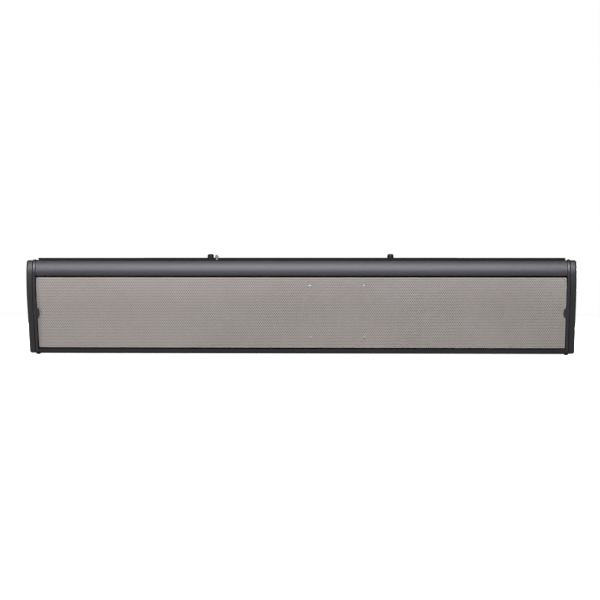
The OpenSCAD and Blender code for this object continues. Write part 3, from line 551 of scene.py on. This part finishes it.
@dataclass(frozen=True)
class Arc:
    """A round stretch of a side outline, about a centre, from one angle to another in degrees."""

    y: float
    z: float
    radius: float = 0.0
    start: float = 0.0
    end: float = 0.0
    steps: int = 0

    def trace(self, bm: BMesh, x: float) -> tuple[BMVert, BMVert]:
        """Draws the stretch.

        Args:
            bm: the mesh to draw in.
            x: where the outline stands along the bar.

        Returns:
            Its first and last vertices.
        """
        angle = math.radians(self.start)
        place = (x, self.y + self.radius * math.cos(angle), self.z + self.radius * math.sin(angle))
        first = bm.verts.new(place)
        if not self.steps:
            return first, first
        turned = bmesh.ops.spin(
            bm, geom=[first], cent=(x, self.y, self.z), axis=(1, 0, 0),
            angle=math.radians(self.end - self.start), steps=self.steps, use_duplicate=False,
        )
        return first, turned["geom_last"][0]


def trace_path(bm: BMesh, x: float, arcs: list[Arc], closed: bool = True) -> list[BMEdge]:
    """Draws arcs one after another, joined by straight lines.

    Args:
        bm: the mesh to draw in.
        x: where the outline stands along the bar.
        arcs: the stretches in order.
        closed: whether the last joins the first.

    Returns:
        The new edges.
    """
    old_edges = set(bm.edges)
    ends = [arc.trace(bm, x) for arc in arcs]
    following = ends[1:] + ends[:1] if closed else ends[1:]
    for (_, last), (first, _) in zip(ends, following):
        bm.edges.new((last, first))
    return [e for e in bm.edges if e not in old_edges]


@dataclass(frozen=True)
class Outline:
    """Side outline of the bar: its box, its lean in radians, and the radii and steps of its round stretches.

    A stretch starts a few tenths of a degree after the one before it ends, so that no two points meet.
    """

    nose_y: float
    rear_y: float
    bottom_z: float
    top_z: float
    lean: float
    nose_drop: float = 16.3
    cheek_r: float = 118.0
    brow_r: float = 36.0
    crown_r: float = 3.0
    heel_r: float = 5.0
    toe_r: float = 3.0
    least_r: float = 0.4
    start_deg: float = 0.8
    toe_steps: int = 6
    cheek_steps: int = 12
    brow_steps: int = 14
    corner_steps: int = 8

    @property
    def nose_z(self) -> float:
        """Height of the nose."""
        return self.top_z - self.nose_drop

    def lean_at(self, s: float, depth: float) -> tuple[float, float]:
        """Gives a place behind the leaning line.

        Args:
            s: the distance up the line.
            depth: how far behind it.

        Returns:
            Its y and z.
        """
        lean_y = self.nose_y + self.cheek_r * (1 - math.cos(self.lean))
        lean_z = self.nose_z - self.cheek_r * math.sin(self.lean)
        y = lean_y - s * math.sin(self.lean) + depth * math.cos(self.lean)
        z = lean_z + s * math.cos(self.lean) + depth * math.sin(self.lean)
        return y, z

    def along(self, z: float, depth: float) -> float:
        """Gives the distance up the leaning line at which a height is reached."""
        return (z - self.lean_at(0, depth)[1]) / math.cos(self.lean)

    def front_at(self, s: float, depth: float) -> tuple[float, float]:
        """Gives a place behind the whole front, where the distance runs on over the cheek.

        Args:
            s: the distance up the front.
            depth: how far behind it.

        Returns:
            Its y and z.
        """
        if s <= 0:
            return self.lean_at(s, depth)
        angle = self.lean - s / (self.cheek_r - depth)
        reach = self.cheek_r - depth
        return self.nose_y + self.cheek_r - reach * math.cos(angle), self.nose_z - reach * math.sin(angle)

    def climb(self, z: float, depth: float) -> float:
        """Gives the distance up the whole front at which a height is reached.

        Args:
            z: the height.
            depth: how far behind the front.

        Returns:
            The distance.
        """
        reach = self.cheek_r - depth
        if z < self.nose_z - reach * math.sin(self.lean):
            return self.along(z, depth)
        return reach * (self.lean - math.asin((self.nose_z - z) / reach))

    def toe(self, inset: float) -> Arc:
        """Gives the bottom front corner.

        Args:
            inset: how far the outline is moved in.

        Returns:
            The stretch.
        """
        radius = max(self.toe_r - inset, self.least_r)
        y, z = self.lean_at(self.along(self.bottom_z + inset + radius, inset + radius), inset + radius)
        return Arc(y, z, radius, 270, 180 + math.degrees(self.lean), self.toe_steps)

    def cheek(self, inset: float, from_angle: float) -> Arc:
        """Gives the long curve below the nose, from an angle up to the nose."""
        centre_y = self.nose_y + self.cheek_r
        return Arc(centre_y, self.nose_z, self.cheek_r - inset, from_angle, 180, self.cheek_steps)

    def brow_and_crown(self, inset: float, drop: float) -> list[Arc]:
        """Gives the curve above the nose and the top front corner.

        Args:
            inset: how far the outline is moved in.
            drop: how far the top is lowered.

        Returns:
            Both stretches, going up.
        """
        crown_r = max(self.crown_r - inset, self.least_r)
        crown_z = self.top_z - drop - inset - crown_r
        between = self.brow_r - inset - crown_r
        rise = crown_z - self.nose_z
        crown_y = self.nose_y + self.brow_r - math.sqrt(between**2 - rise**2)
        turn = math.degrees(math.asin(rise / between))
        start = 180 - self.start_deg
        centre_y = self.nose_y + self.brow_r
        return [
            Arc(centre_y, self.nose_z, self.brow_r - inset, start, 180 - turn, self.brow_steps),
            Arc(crown_y, crown_z, crown_r, start - turn, 90, self.corner_steps),
        ]

    def heels(self, inset: float, drop: float) -> list[Arc]:
        """Gives the two back corners.

        Args:
            inset: how far the outline is moved in.
            drop: how far the top is lowered.

        Returns:
            Both stretches, going down.
        """
        radius = max(self.heel_r - inset, self.least_r)
        y = self.rear_y - inset - radius
        return [
            Arc(y, self.top_z - drop - inset - radius, radius, 90, 0, self.corner_steps),
            Arc(y, self.bottom_z + inset + radius, radius, 0, -90, self.corner_steps),
        ]

    def whole(self, inset: float, drop: float = 0.0) -> list[Arc]:
        """Gives the closed outline, moved in and with its top lowered."""
        cheek = self.cheek(inset, 180 - self.start_deg + math.degrees(self.lean))
        return [self.toe(inset), cheek, *self.brow_and_crown(inset, drop), *self.heels(inset, drop)]


def loft(
    bm: BMesh, outline: Outline, sections: list[tuple[float, float]], drop: float = 0.0
) -> list[list[BMEdge]]:
    """Joins outlines one after another into a band.

    Args:
        bm: the mesh.
        outline: the side outline.
        sections: for each outline, its x and how far it is moved in.
        drop: how far the top is lowered.

    Returns:
        The edges of each outline, in order.
    """
    rings = [trace_path(bm, x, outline.whole(inset, drop)) for x, inset in sections]
    for near, far in zip(rings, rings[1:]):
        bmesh.ops.bridge_loops(bm, edges=near + far)
    return rings


def quarter(x: float, radius: float, side: int, closing: bool, steps: int = 5) -> list[tuple[float, float]]:
    """Gives the sections of a rounded edge.

    Args:
        x: where the flat face is.
        radius: the radius of the rounding.
        side: which way along X the rounding goes as the inset grows or shrinks.
        closing: whether the outline shrinks towards x.
        steps: how many faces make the rounding.

    Returns:
        Pairs of x and inset.
    """
    turns = [math.radians(90 * k / steps) for k in range(steps + 1)]
    pairs = [(x - side * radius * (1 - math.sin(t)), radius * (1 - math.cos(t))) for t in turns]
    return pairs if closing else pairs[::-1]


# ---- Ends ----


@dataclass
class EndFitting:
    """One end of the bar: a beaded trim ring with its grille tab, and the outer cap with screw wells."""

    outline: Outline
    side: int
    cap_t: float = 6.6
    joint_gap: float = 0.4
    ring_t: float = 3.0
    ring_frame: float = 14.0
    bead: float = 0.7
    cap_round: float = 2.0
    cap_back_round: float = 0.25
    cap_drop: float = 1.1
    seat_in: float = 2.5
    tab_h: float = 13.2
    tab_reach: float = 3.6
    tab_front: float = 0.6
    tab_back: float = 1.8
    tab_sink: float = 0.2
    tab_edge: float = 0.3
    tab_sides: int = 40
    screw_r: float = 2.6
    well_r: float = 2.75
    well_depth: float = 2.4
    front_well_in: float = 47.0

    @property
    def half_w(self) -> float:
        """Half of the length over the caps."""
        return box_mm("end_cap_right")[1].x

    @property
    def ring_x(self) -> float:
        """Where the ring's inner face is, on the right."""
        return self.half_w - self.cap_t - self.joint_gap - self.ring_t

    def ring(self) -> BMesh:
        """Builds the trim ring with its tab.

        Returns:
            The ring's mesh.
        """
        bm = bmesh.new()
        inner = self.side * self.ring_x
        outer = self.side * (self.ring_x + self.ring_t)
        sections = [(inner, self.ring_frame)]
        sections += quarter(inner, self.bead, -self.side, closing=False)
        sections += quarter(outer, self.bead, self.side, closing=True)
        sections += [(outer, self.ring_frame)]
        rings = loft(bm, self.outline, sections)
        bmesh.ops.bridge_loops(bm, edges=rings[0] + rings[-1])
        bmesh.ops.recalc_face_normals(bm, faces=bm.faces)
        self.tab(bm)
        return bm

    def tab(self, bm: BMesh) -> None:
        """Adds the tab that holds an end of the grille, half of an upright ellipse.

        Args:
            bm: the ring's mesh.
        """
        low, high = box_mm("grille")
        depth = self.tab_back
        y, z = self.outline.lean_at(self.outline.along((low.z + high.z) / 2, depth), depth)
        turn = Matrix.Rotation(math.radians(90) + self.outline.lean, 4, "X")
        place = Matrix.Translation((self.side * (self.ring_x + self.tab_sink), y, z)) @ turn
        stretched = place @ Matrix.Diagonal((self.tab_reach, self.tab_h / 2, 1, 1))
        part = bmesh.new()
        rim = circle_edges(part, 1, stretched, self.tab_sides)
        bmesh.ops.contextual_create(part, geom=rim)
        raised = bmesh.ops.extrude_face_region(part, geom=part.faces[:])
        out = Vector((0, -math.cos(self.outline.lean), -math.sin(self.outline.lean)))
        bmesh.ops.translate(part, verts=new_of(raised, BMVert), vec=out * (self.tab_back - self.tab_front))
        bmesh.ops.recalc_face_normals(part, faces=part.faces)
        round_corners(part, self.tab_edge, 3)
        join(bm, part)

    def cap(self) -> BMesh:
        """Builds the outer cap, with a seat behind it and a well for each screw.

        Returns:
            The cap's mesh.
        """
        bm = bmesh.new()
        seat = self.side * (self.ring_x + self.ring_t)
        inner = self.side * (self.half_w - self.cap_t)
        outer = self.side * self.half_w
        sections = [(seat, self.seat_in), (inner, self.seat_in)]
        sections += quarter(inner, self.cap_back_round, -self.side, closing=False, steps=2)
        sections += quarter(outer, self.cap_round, self.side, closing=True, steps=7)
        rings = loft(bm, self.outline, sections, self.cap_drop)
        bmesh.ops.contextual_create(bm, geom=rings[0])
        low, high = box_mm("end_cap_screws_right")
        front, rear = low.y + self.screw_r, high.y - self.screw_r
        lower, upper = low.z + self.screw_r, high.z - self.screw_r
        front_low = self.outline.nose_y + self.front_well_in
        places = [(front, upper), (rear, upper), (rear, lower), (front_low, lower)]
        wells = [circle_edges(bm, self.well_r, upright(outer, y, z, "Y")) for y, z in places]
        bmesh.ops.triangle_fill(bm, use_beauty=True, edges=rings[-1] + [e for well in wells for e in well])
        for well in wells:
            sunk = bmesh.ops.extrude_edge_only(bm, edges=well)
            bmesh.ops.translate(bm, verts=new_of(sunk, BMVert), vec=(-self.side * self.well_depth, 0, 0))
            bmesh.ops.contextual_create(bm, geom=new_of(sunk, BMEdge))
        bmesh.ops.recalc_face_normals(bm, faces=bm.faces)
        return bm

    def build(self, shop: Workshop) -> None:
        """Makes both pieces of this end.

        Args:
            shop: where pieces are dressed and handed over.
        """
        end = "right" if self.side > 0 else "left"
        shop.hand_over(f"beaded_ring_{end}", self.ring(), f"end_ring_{end}")
        shop.hand_over(f"moulded_cap_{end}", self.cap(), f"end_cap_{end}")


# ---- Housing ----


@dataclass
class Housing:
    """The extrusion: one bent wall from the roll's lip over the top and back to the bottom rail.

    Its surface lies inside the outline, apart from the underside, which hangs below it.
    """

    outline: Outline
    shy: float = 0.6
    keel: float = 0.15
    wall: float = 2.2
    end_gap: float = 0.3
    roll_h: float = 18.3
    rail_h: float = 5.0
    lip_depth: float = 15.5
    rail_depth: float = 26.0
    edge: float = 0.35
    window: tuple[float, float] = (120.0, 36.0)
    window_r: float = 1.5
    window_x: float = -95.0
    insert_x: float = 200.0
    insert_r: float = 4.05
    hole_r: float = 2.7
    hole_sides: int = 24
    head_r: float = 2.65

    def path(self) -> list[Arc]:
        """Gives the wall's outer line, from the lip under the roll round to the rail's inner edge.

        Returns:
            Its stretches in order.
        """
        side = replace(self.outline, bottom_z=self.outline.bottom_z - self.shy - self.keel)
        lip_z = side.top_z - self.roll_h
        rail_z = self.outline.bottom_z + self.rail_h
        reach = side.cheek_r - self.shy
        turn = 180 + math.degrees(math.asin((side.nose_z - lip_z) / reach))
        rail_y, _ = side.lean_at(side.along(rail_z, self.shy), self.shy)
        arcs = [Arc(side.nose_y + self.lip_depth, lip_z), side.cheek(self.shy, turn)]
        arcs += side.brow_and_crown(self.shy, 0.0) + side.heels(self.shy, 0.0)
        return arcs + [side.toe(self.shy), Arc(rail_y, rail_z), Arc(rail_y + self.rail_depth, rail_z)]

    def back(self, bm: BMesh) -> None:
        """Cuts the connector window and the holes of the screws and inserts in the back wall.

        Args:
            bm: the bent wall, still without thickness.
        """
        wall = max(bm.faces, key=lambda face: face.calc_area() * abs(face.normal.y))
        y = self.outline.rear_y - self.shy
        low, high = box_mm("input_panel_screws")
        insert_low, insert_high = box_mm("wall_inserts")
        middle = (low.z + high.z) / 2
        insert_z = (insert_low.z + insert_high.z) / 2
        rim = list(wall.edges)
        bmesh.ops.delete(bm, geom=[wall], context="FACES_ONLY")
        rim += window_edges(bm, *self.window, self.window_r, upright(self.window_x, y, middle, "X"))
        for x in (low.x + self.head_r, high.x - self.head_r):
            for z in (low.z + self.head_r, high.z - self.head_r):
                rim += circle_edges(bm, self.hole_r, upright(x, y, z, "X"), self.hole_sides)
        for x in (-self.insert_x, self.insert_x):
            rim += circle_edges(bm, self.insert_r, upright(x, y, insert_z, "X"))
        bmesh.ops.triangle_fill(bm, use_beauty=True, edges=rim)

    def build(self, shop: Workshop) -> None:
        """Makes the extrusion.

        Args:
            shop: where pieces are dressed and handed over.
        """
        bm = bmesh.new()
        half = box_mm("housing")[1].x - self.end_gap
        made = bmesh.ops.extrude_edge_only(bm, edges=trace_path(bm, -half, self.path(), closed=False))
        bmesh.ops.translate(bm, verts=new_of(made, BMVert), vec=(2 * half, 0, 0))
        bm.normal_update()
        self.back(bm)
        thicken(bm, self.wall, Vector((0, 0, 1)))
        round_corners(bm, self.edge, angle=50)
        shop.hand_over("extruded_housing", bm, "housing")


# ---- Grille ----


@dataclass
class Grille:
    """The perforated front: a sheet of staggered holes with a plain border and a folded rim.

    Its face lies a set depth behind the outline.
    """

    outline: Outline
    front: float = 2.6
    sheet_t: float = 0.9
    pitch: float = 2.0
    hole_r: float = 0.58
    border: float = 0.7
    lap: float = 0.2
    rim_depth: float = 3.4
    shadow_gap: float = 0.9
    edge: float = 0.25
    bends: int = 26

    def spans(self) -> tuple[float, float, float]:
        """Measures the grille.

        Returns:
            Half of its width, and how far up the front its bottom and top edges are.
        """
        low, high = box_mm("grille")
        upper = self.outline.climb(high.z, self.front) - self.shadow_gap
        return high.x, self.outline.climb(low.z, self.front), upper

    def wrap(self, bm: BMesh) -> None:
        """Bends a flat mesh onto the front.

        Args:
            bm: the mesh, drawn in x and distance with its height outward.
        """
        for vert in bm.verts:
            x, s, out = vert.co
            y, z = self.outline.front_at(s, self.front - out)
            vert.co = (x, y, z)

    def sheet(self, side: int) -> BMesh:
        """Punches one half of the holes.

        Every other row of a grid is moved on by half a pitch, and each vertex is opened to a hole.

        Args:
            side: 1 for the right half, -1 for its mirror image.

        Returns:
            The bent sheet, with its middle cut meeting the other half.
        """
        half, lower, upper = self.spans()
        row = self.pitch * math.sqrt(3) / 2
        columns = math.ceil(half / self.pitch) + 2
        rows = math.ceil((upper - lower) / row) + 1
        bm = bmesh.new()
        middle = Vector(((columns / 2 - 1) * self.pitch, (lower + upper) / 2, 0))
        place = Matrix.Translation(middle) @ Matrix.Diagonal((columns * self.pitch, rows * row, 1, 1))
        bmesh.ops.create_grid(bm, x_segments=columns, y_segments=rows, size=0.5, matrix=place)
        bottom = min(vert.co.y for vert in bm.verts)
        odd = [vert for vert in bm.verts if round((vert.co.y - bottom) / row) % 2]
        bmesh.ops.translate(bm, verts=odd, vec=(self.pitch / 2, 0, 0))
        bmesh.ops.triangulate(bm, faces=bm.faces, quad_method="SHORT_EDGE")
        inner = [vert for vert in bm.verts if not vert.is_boundary]
        opened = bmesh.ops.bevel(
            bm, geom=inner, offset=self.hole_r, offset_type="OFFSET", affect="VERTICES",
            segments=1, profile=0.5, material=-1,
        )
        bmesh.ops.delete(bm, geom=opened["faces"], context="FACES_ONLY")
        inside = self.border - self.lap
        edges = (
            ((half - inside, 0, 0), (1, 0, 0)), ((0, 0, 0), (-1, 0, 0)),
            ((0, upper - inside, 0), (0, 1, 0)), ((0, lower + inside, 0), (0, -1, 0)),
        )
        for point, way in edges:
            cut(bm, point, way, clear=True)
        bmesh.ops.delete(bm, geom=[e for e in bm.edges if not e.link_faces], context="EDGES")
        thicken(bm, self.sheet_t, Vector((0, 0, 1)))
        if side < 0:
            bmesh.ops.scale(bm, vec=(-1, 1, 1), verts=bm.verts)
            bmesh.ops.reverse_faces(bm, faces=bm.faces)
        self.wrap(bm)
        return bm

    def frame(self) -> BMesh:
        """Folds the plain border with its rim.

        Returns:
            The border's mesh.
        """
        half, lower, upper = self.spans()
        bm = bmesh.new()
        stretch = Matrix.Diagonal((2 * half, upper - lower, 1, 1))
        place = Matrix.Translation((0, (lower + upper) / 2, 0)) @ stretch
        bmesh.ops.create_grid(bm, x_segments=1, y_segments=1, size=0.5, matrix=place)
        middle = bm.faces[:]
        bmesh.ops.inset_region(
            bm, faces=middle, thickness=self.border, use_boundary=True, use_even_offset=True
        )
        bmesh.ops.delete(bm, geom=middle, context="FACES_ONLY")
        outside = [
            edge for edge in bm.edges
            if edge.is_boundary and (
                all(near(vert.co.x, -half, half) for vert in edge.verts)
                or all(near(vert.co.y, lower, upper) for vert in edge.verts)
            )
        ]
        folded = bmesh.ops.extrude_edge_only(bm, edges=outside)
        bmesh.ops.translate(bm, verts=new_of(folded, BMVert), vec=(0, 0, -self.rim_depth))
        for k in range(1, self.bends):
            cut(bm, (0, lower + (upper - lower) * k / self.bends, 0), (0, 1, 0), clear=False)
        bmesh.ops.recalc_face_normals(bm, faces=bm.faces)
        thicken(bm, self.sheet_t, Vector((0, 0, 1)))
        round_corners(bm, self.edge, angle=60)
        self.wrap(bm)
        return bm

    def build(self, shop: Workshop) -> None:
        """Makes the two halves of the sheet, and its border.

        Args:
            shop: where pieces are dressed and handed over.
        """
        shop.hand_over("perforated_sheet_left", self.sheet(-1), "grille")
        shop.hand_over("perforated_sheet_right", self.sheet(1), "grille")
        shop.hand_over("folded_grille_border", self.frame(), "grille")


# ---- Small pieces that keep their drawn shape and get rounded edges ----


@dataclass(frozen=True)
class SmallPieces:
    """Nodes whose shape is right, with the width of the rounding that each gets."""

    edges: tuple[tuple[str, float], ...] = (
        ("top_cover", 0.20),
        ("mounting_plate", 0.45),
        ("safety_stud", 0.15),
        ("input_panel", 0.35),
        ("mains_inlet", 0.30),
        ("power_switch_body", 0.35),
        ("power_rocker", 0.45),
        ("phono_jacks", 0.25),
        ("line_in_jack", 0.20),
        ("source_button", 0.35),
        ("volume_knob", 0.20),
        ("end_cap_screws_left", 0.12),
        ("end_cap_screws_right", 0.12),
        ("top_cover_screws", 0.08),
        ("input_panel_screws", 0.08),
        ("wall_inserts", 0.20),
        ("heatsink", 0.20),
        ("transformer", 0.30),
    )

    def build(self, shop: Workshop) -> None:
        """Makes a rounded copy of each node."""
        for node, width in self.edges:
            shop.softened(node, width)


# ---- Screws ----


@dataclass(frozen=True)
class DriverScrews:
    """Four bright screws of the woofer, with domed heads that stand in the perforated sheet."""

    outline: Outline
    front: float
    inset: float = 4.3
    rise: float = 1.8
    head_r: float = 1.9
    head_sides: int = 20
    dome_h: float = 0.55
    dome_flat_r: float = 0.2
    dome_steps: int = 4
    proud: float = 0.25
    neck: float = 0.6
    shank_r: float = 1.1
    length_share: float = 0.6

    def screw(self, x: float, z: float, length: float) -> BMesh:
        """Turns one screw and leans it against the front.

        Args:
            x: where its axis is along the bar.
            z: height of its head.
            length: from the top of the dome to the tip.

        Returns:
            The screw.
        """
        bm = bmesh.new()
        rim = circle_edges(bm, self.dome_flat_r, Matrix.Translation((0, 0, self.dome_h)), self.head_sides)
        bmesh.ops.contextual_create(bm, geom=rim)
        profile = [(self.dome_flat_r, self.dome_h)]
        for k in range(1, self.dome_steps + 1):
            turn = math.radians(90 * k / self.dome_steps)
            profile.append((self.head_r * math.sin(turn), self.dome_h * math.cos(turn)))
        profile += [(self.shank_r, -self.neck), (self.shank_r, self.dome_h - length)]
        bmesh.ops.contextual_create(bm, geom=draw_out(bm, rim, Vector((0, 0, 0)), profile))
        bmesh.ops.recalc_face_normals(bm, faces=bm.faces)
        s = self.outline.climb(z, self.front)
        y, height = self.outline.front_at(s, self.front + self.dome_h - self.proud)
        angle = self.outline.lean - max(s, 0.0) / (self.outline.cheek_r - self.front)
        place = Matrix.Translation((x, y, height)) @ Matrix.Rotation(math.radians(90) + angle, 4, "X")
        bmesh.ops.transform(bm, matrix=place, verts=bm.verts)
        return bm

    def build(self, shop: Workshop) -> None:
        """Makes the four screws as one piece.

        Args:
            shop: where pieces are dressed and handed over.
        """
        low, high = box_mm("woofer_screws")
        length = (high.y - low.y) * self.length_share
        bm = bmesh.new()
        for x in (low.x + self.inset, high.x - self.inset):
            for z in (low.z + self.inset, high.z - self.inset):
                join(bm, self.screw(x, z + self.rise, length))
        shop.hand_over("driver_screws", bm, "woofer_screws")


@dataclass(frozen=True)
class MountingBolts:
    """Two socket-head screws through the top plate, with rounded heads."""

    head_r: float = 3.7
    head_h: float = 4.4
    crown_r: float = 2.1
    crown_steps: int = 5
    head_sides: int = 40
    socket_r: float = 1.4
    socket_sides: int = 6
    socket_h: float = 2.2
    shank_r: float = 2.0
    tip: float = 0.5

    def bolt(self, bm: BMesh, x: float, y: float, bottom: float, top: float) -> None:
        """Turns one screw, from the edge of its socket outwards and down.

        Args:
            bm: the mesh.
            x: where its axis is along the bar.
            y: where its axis is across the bar.
            bottom: height of its tip.
            top: height of its head.
        """
        crown = Matrix.Translation((x, y, top))
        rim = circle_edges(bm, self.head_r - self.crown_r, crown, self.head_sides)
        socket = circle_edges(bm, self.socket_r, crown, self.socket_sides)
        bmesh.ops.triangle_fill(bm, use_beauty=True, edges=rim + socket)
        axis = Vector((x, y, 0))
        well = draw_out(bm, socket, axis, [(self.socket_r, top), (self.socket_r, top - self.socket_h)])
        bmesh.ops.contextual_create(bm, geom=well)
        rounding = quarter(self.head_r, self.crown_r, 1, closing=True, steps=self.crown_steps)
        profile = [(radius, top - fall) for radius, fall in rounding]
        profile += [(self.head_r, top - self.head_h), (self.shank_r, top - self.head_h)]
        profile += [(self.shank_r, bottom + self.tip), (self.shank_r - self.tip, bottom)]
        bmesh.ops.contextual_create(bm, geom=draw_out(bm, rim, axis, profile))

    def build(self, shop: Workshop) -> None:
        """Makes both screws as one piece.

        Args:
            shop: where pieces are dressed and handed over.
        """
        low, high = box_mm("mounting_bolts")
        bm = bmesh.new()
        for x in (low.x + self.head_r, high.x - self.head_r):
            self.bolt(bm, x, (low.y + high.y) / 2, low.z, high.z)
        bmesh.ops.recalc_face_normals(bm, faces=bm.faces)
        shop.hand_over("round_head_bolts", bm, "mounting_bolts")


# ---- Volume control ----


@dataclass(frozen=True)
class KnobPointer:
    """A bright bar let into the face of the volume knob, which shows how far it is turned."""

    width: float = 0.9
    length: float = 3.6
    thickness: float = 0.6
    proud: float = 0.2
    rim_gap: float = 1.0
    edge: float = 0.15

    def build(self, shop: Workshop) -> None:
        """Makes the bar.

        Args:
            shop: where pieces are dressed and handed over.
        """
        low, high = box_mm("volume_knob")
        x = (low.x + high.x) / 2
        y = high.y + self.proud - self.thickness / 2
        z = high.z - self.rim_gap - self.length / 2
        stretch = Matrix.Diagonal((self.width, self.thickness, self.length, 1))
        bm = bmesh.new()
        bmesh.ops.create_cube(bm, size=1, matrix=Matrix.Translation((x, y, z)) @ stretch)
        round_corners(bm, self.edge, 3)
        shop.hand_over("knob_pointer", bm, "volume_knob", slot="bright_steel")


# ---- Studio, in metres ----


@dataclass(frozen=True)
class SoftBox:
    """A rectangular light aimed at the bar, its power in watts, and whether glossy surfaces mirror it."""

    name: str
    place: tuple[float, float, float]
    size: tuple[float, float]
    watts: float
    shine: bool = False
    tint: tuple[float, float, float] = (1.0, 1.0, 1.0)
    aim_z: float = 0.06

    def build(self) -> None:
        """Hangs the light."""
        data = bpy.data.lights.new(self.name, "AREA")
        data.shape = "RECTANGLE"
        data.size, data.size_y = self.size
        data.energy = self.watts
        data.color = self.tint
        light = bpy.data.objects.new(self.name, data)
        light.location = self.place
        way = Vector((0, 0, self.aim_z)) - Vector(self.place)
        light.rotation_euler = way.to_track_quat("-Z", "Y").to_euler()
        light.visible_glossy = self.shine
        light.visible_camera = False
        bpy.context.scene.collection.objects.link(light)


SOFT_BOXES = (
    SoftBox("key", (-0.10, -1.80, 0.96), (1.75, 0.60), 44, shine=True, tint=(1.0, 0.98, 1.08)),
    SoftBox("left", (-2.2, -1.2, 0.5), (0.8, 1.2), 42),
    SoftBox("right", (2.6, 0.5, 0.9), (1.2, 1.2), 30),
    SoftBox("overhead", (0, 0.4, 2.6), (3.0, 2.4), 30),
    SoftBox("back", (0.4, 2.4, 0.36), (2.6, 0.4), 80, shine=True),
    SoftBox("bounce", (0, 0, 0.002), (6.0, 6.0), 38, shine=True),
)


@dataclass(frozen=True)
class Studio:
    """Pale floor, soft boxes, and the camera in front of the bar, with its turn and roll in degrees."""

    distance: float = 1.9
    azimuth: float = 2.34
    eye_z: float = 0.0609
    lens: float = 103.72
    roll: float = 0.057
    sensor_mm: float = 36.0
    shift_px: float = -0.4
    frame_px: int = 600
    clip_end: float = 50.0
    floor_r: float = 6.0
    floor_sides: int = 96
    floor_glow: float = 0.95

    def camera(self) -> None:
        """Stands the camera level with the middle of the bar."""
        data = bpy.data.cameras.new("camera")
        data.lens = self.lens
        data.sensor_width = self.sensor_mm
        data.shift_x = -self.shift_px / self.frame_px
        data.clip_end = self.clip_end
        camera = bpy.data.objects.new("camera", data)
        turn = math.radians(self.azimuth)
        nose_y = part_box("end_ring_left")[0].y
        x, away = self.distance * math.sin(turn), self.distance * math.cos(turn)
        camera.location = (x, nose_y - away, self.eye_z)
        level = Matrix.Rotation(turn, 4, "Z") @ Matrix.Rotation(math.radians(90), 4, "X")
        camera.rotation_euler = (level @ Matrix.Rotation(math.radians(self.roll), 4, "Z")).to_euler()
        bpy.context.scene.collection.objects.link(camera)
        bpy.context.scene.camera = camera

    def floor(self) -> None:
        """Lays the pale floor."""
        bm = bmesh.new()
        bmesh.ops.create_circle(bm, cap_ends=True, radius=self.floor_r, segments=self.floor_sides)
        mesh = bpy.data.meshes.new("floor")
        bm.to_mesh(mesh)
        bm.free()
        floor = bpy.data.objects.new("floor", mesh)
        bpy.context.scene.collection.objects.link(floor)
        paper = Finish("white_studio_paper", "#fbfbfb", "#f8f8f8", 0.85, Surface.FIBRE, 3.0, 0.01).make()
        shader = paper.node_tree.nodes["Principled BSDF"]
        shader.inputs["Emission Color"].default_value = (1, 1, 1, 1)
        shader.inputs["Emission Strength"].default_value = self.floor_glow
        mesh.materials.append(paper)
        floor.visible_diffuse = False
        floor.visible_glossy = False

    def build(self) -> None:
        """Sets the camera, the floor, the lights and a white room seen only by the camera."""
        scene = bpy.context.scene
        self.camera()
        self.floor()
        for soft_box in SOFT_BOXES:
            soft_box.build()
        world = bpy.data.worlds.new("white room")
        world.use_nodes = True
        world.node_tree.nodes["Background"].inputs["Color"].default_value = (1, 1, 1, 1)
        scene.world = world
        world.cycles_visibility.diffuse = False
        world.cycles_visibility.glossy = False
        scene.view_settings.view_transform = "Standard"


def clear_scene() -> None:
    """Removes what the empty file starts with."""
    for item in list(bpy.data.objects):
        bpy.data.objects.remove(item)


def main() -> None:
    """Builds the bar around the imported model."""
    logging.basicConfig(level=logging.INFO, format="%(name)s: %(message)s")
    clear_scene()
    frame = Frame.load()
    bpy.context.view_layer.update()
    low, high = box_mm("end_ring_left")
    outline = Outline(low.y, high.y, low.z, high.z, frame.lean)
    Studio().build()
    shop = Workshop(frame)
    shop.dress_nodes()
    Housing(outline).build(shop)
    for side in (-1, 1):
        EndFitting(outline, side).build(shop)
    grille = Grille(outline)
    grille.build(shop)
    DriverScrews(outline, grille.front).build(shop)
    MountingBolts().build(shop)
    SmallPieces().build(shop)
    KnobPointer().build(shop)


if __name__ == "__main__":
    main()
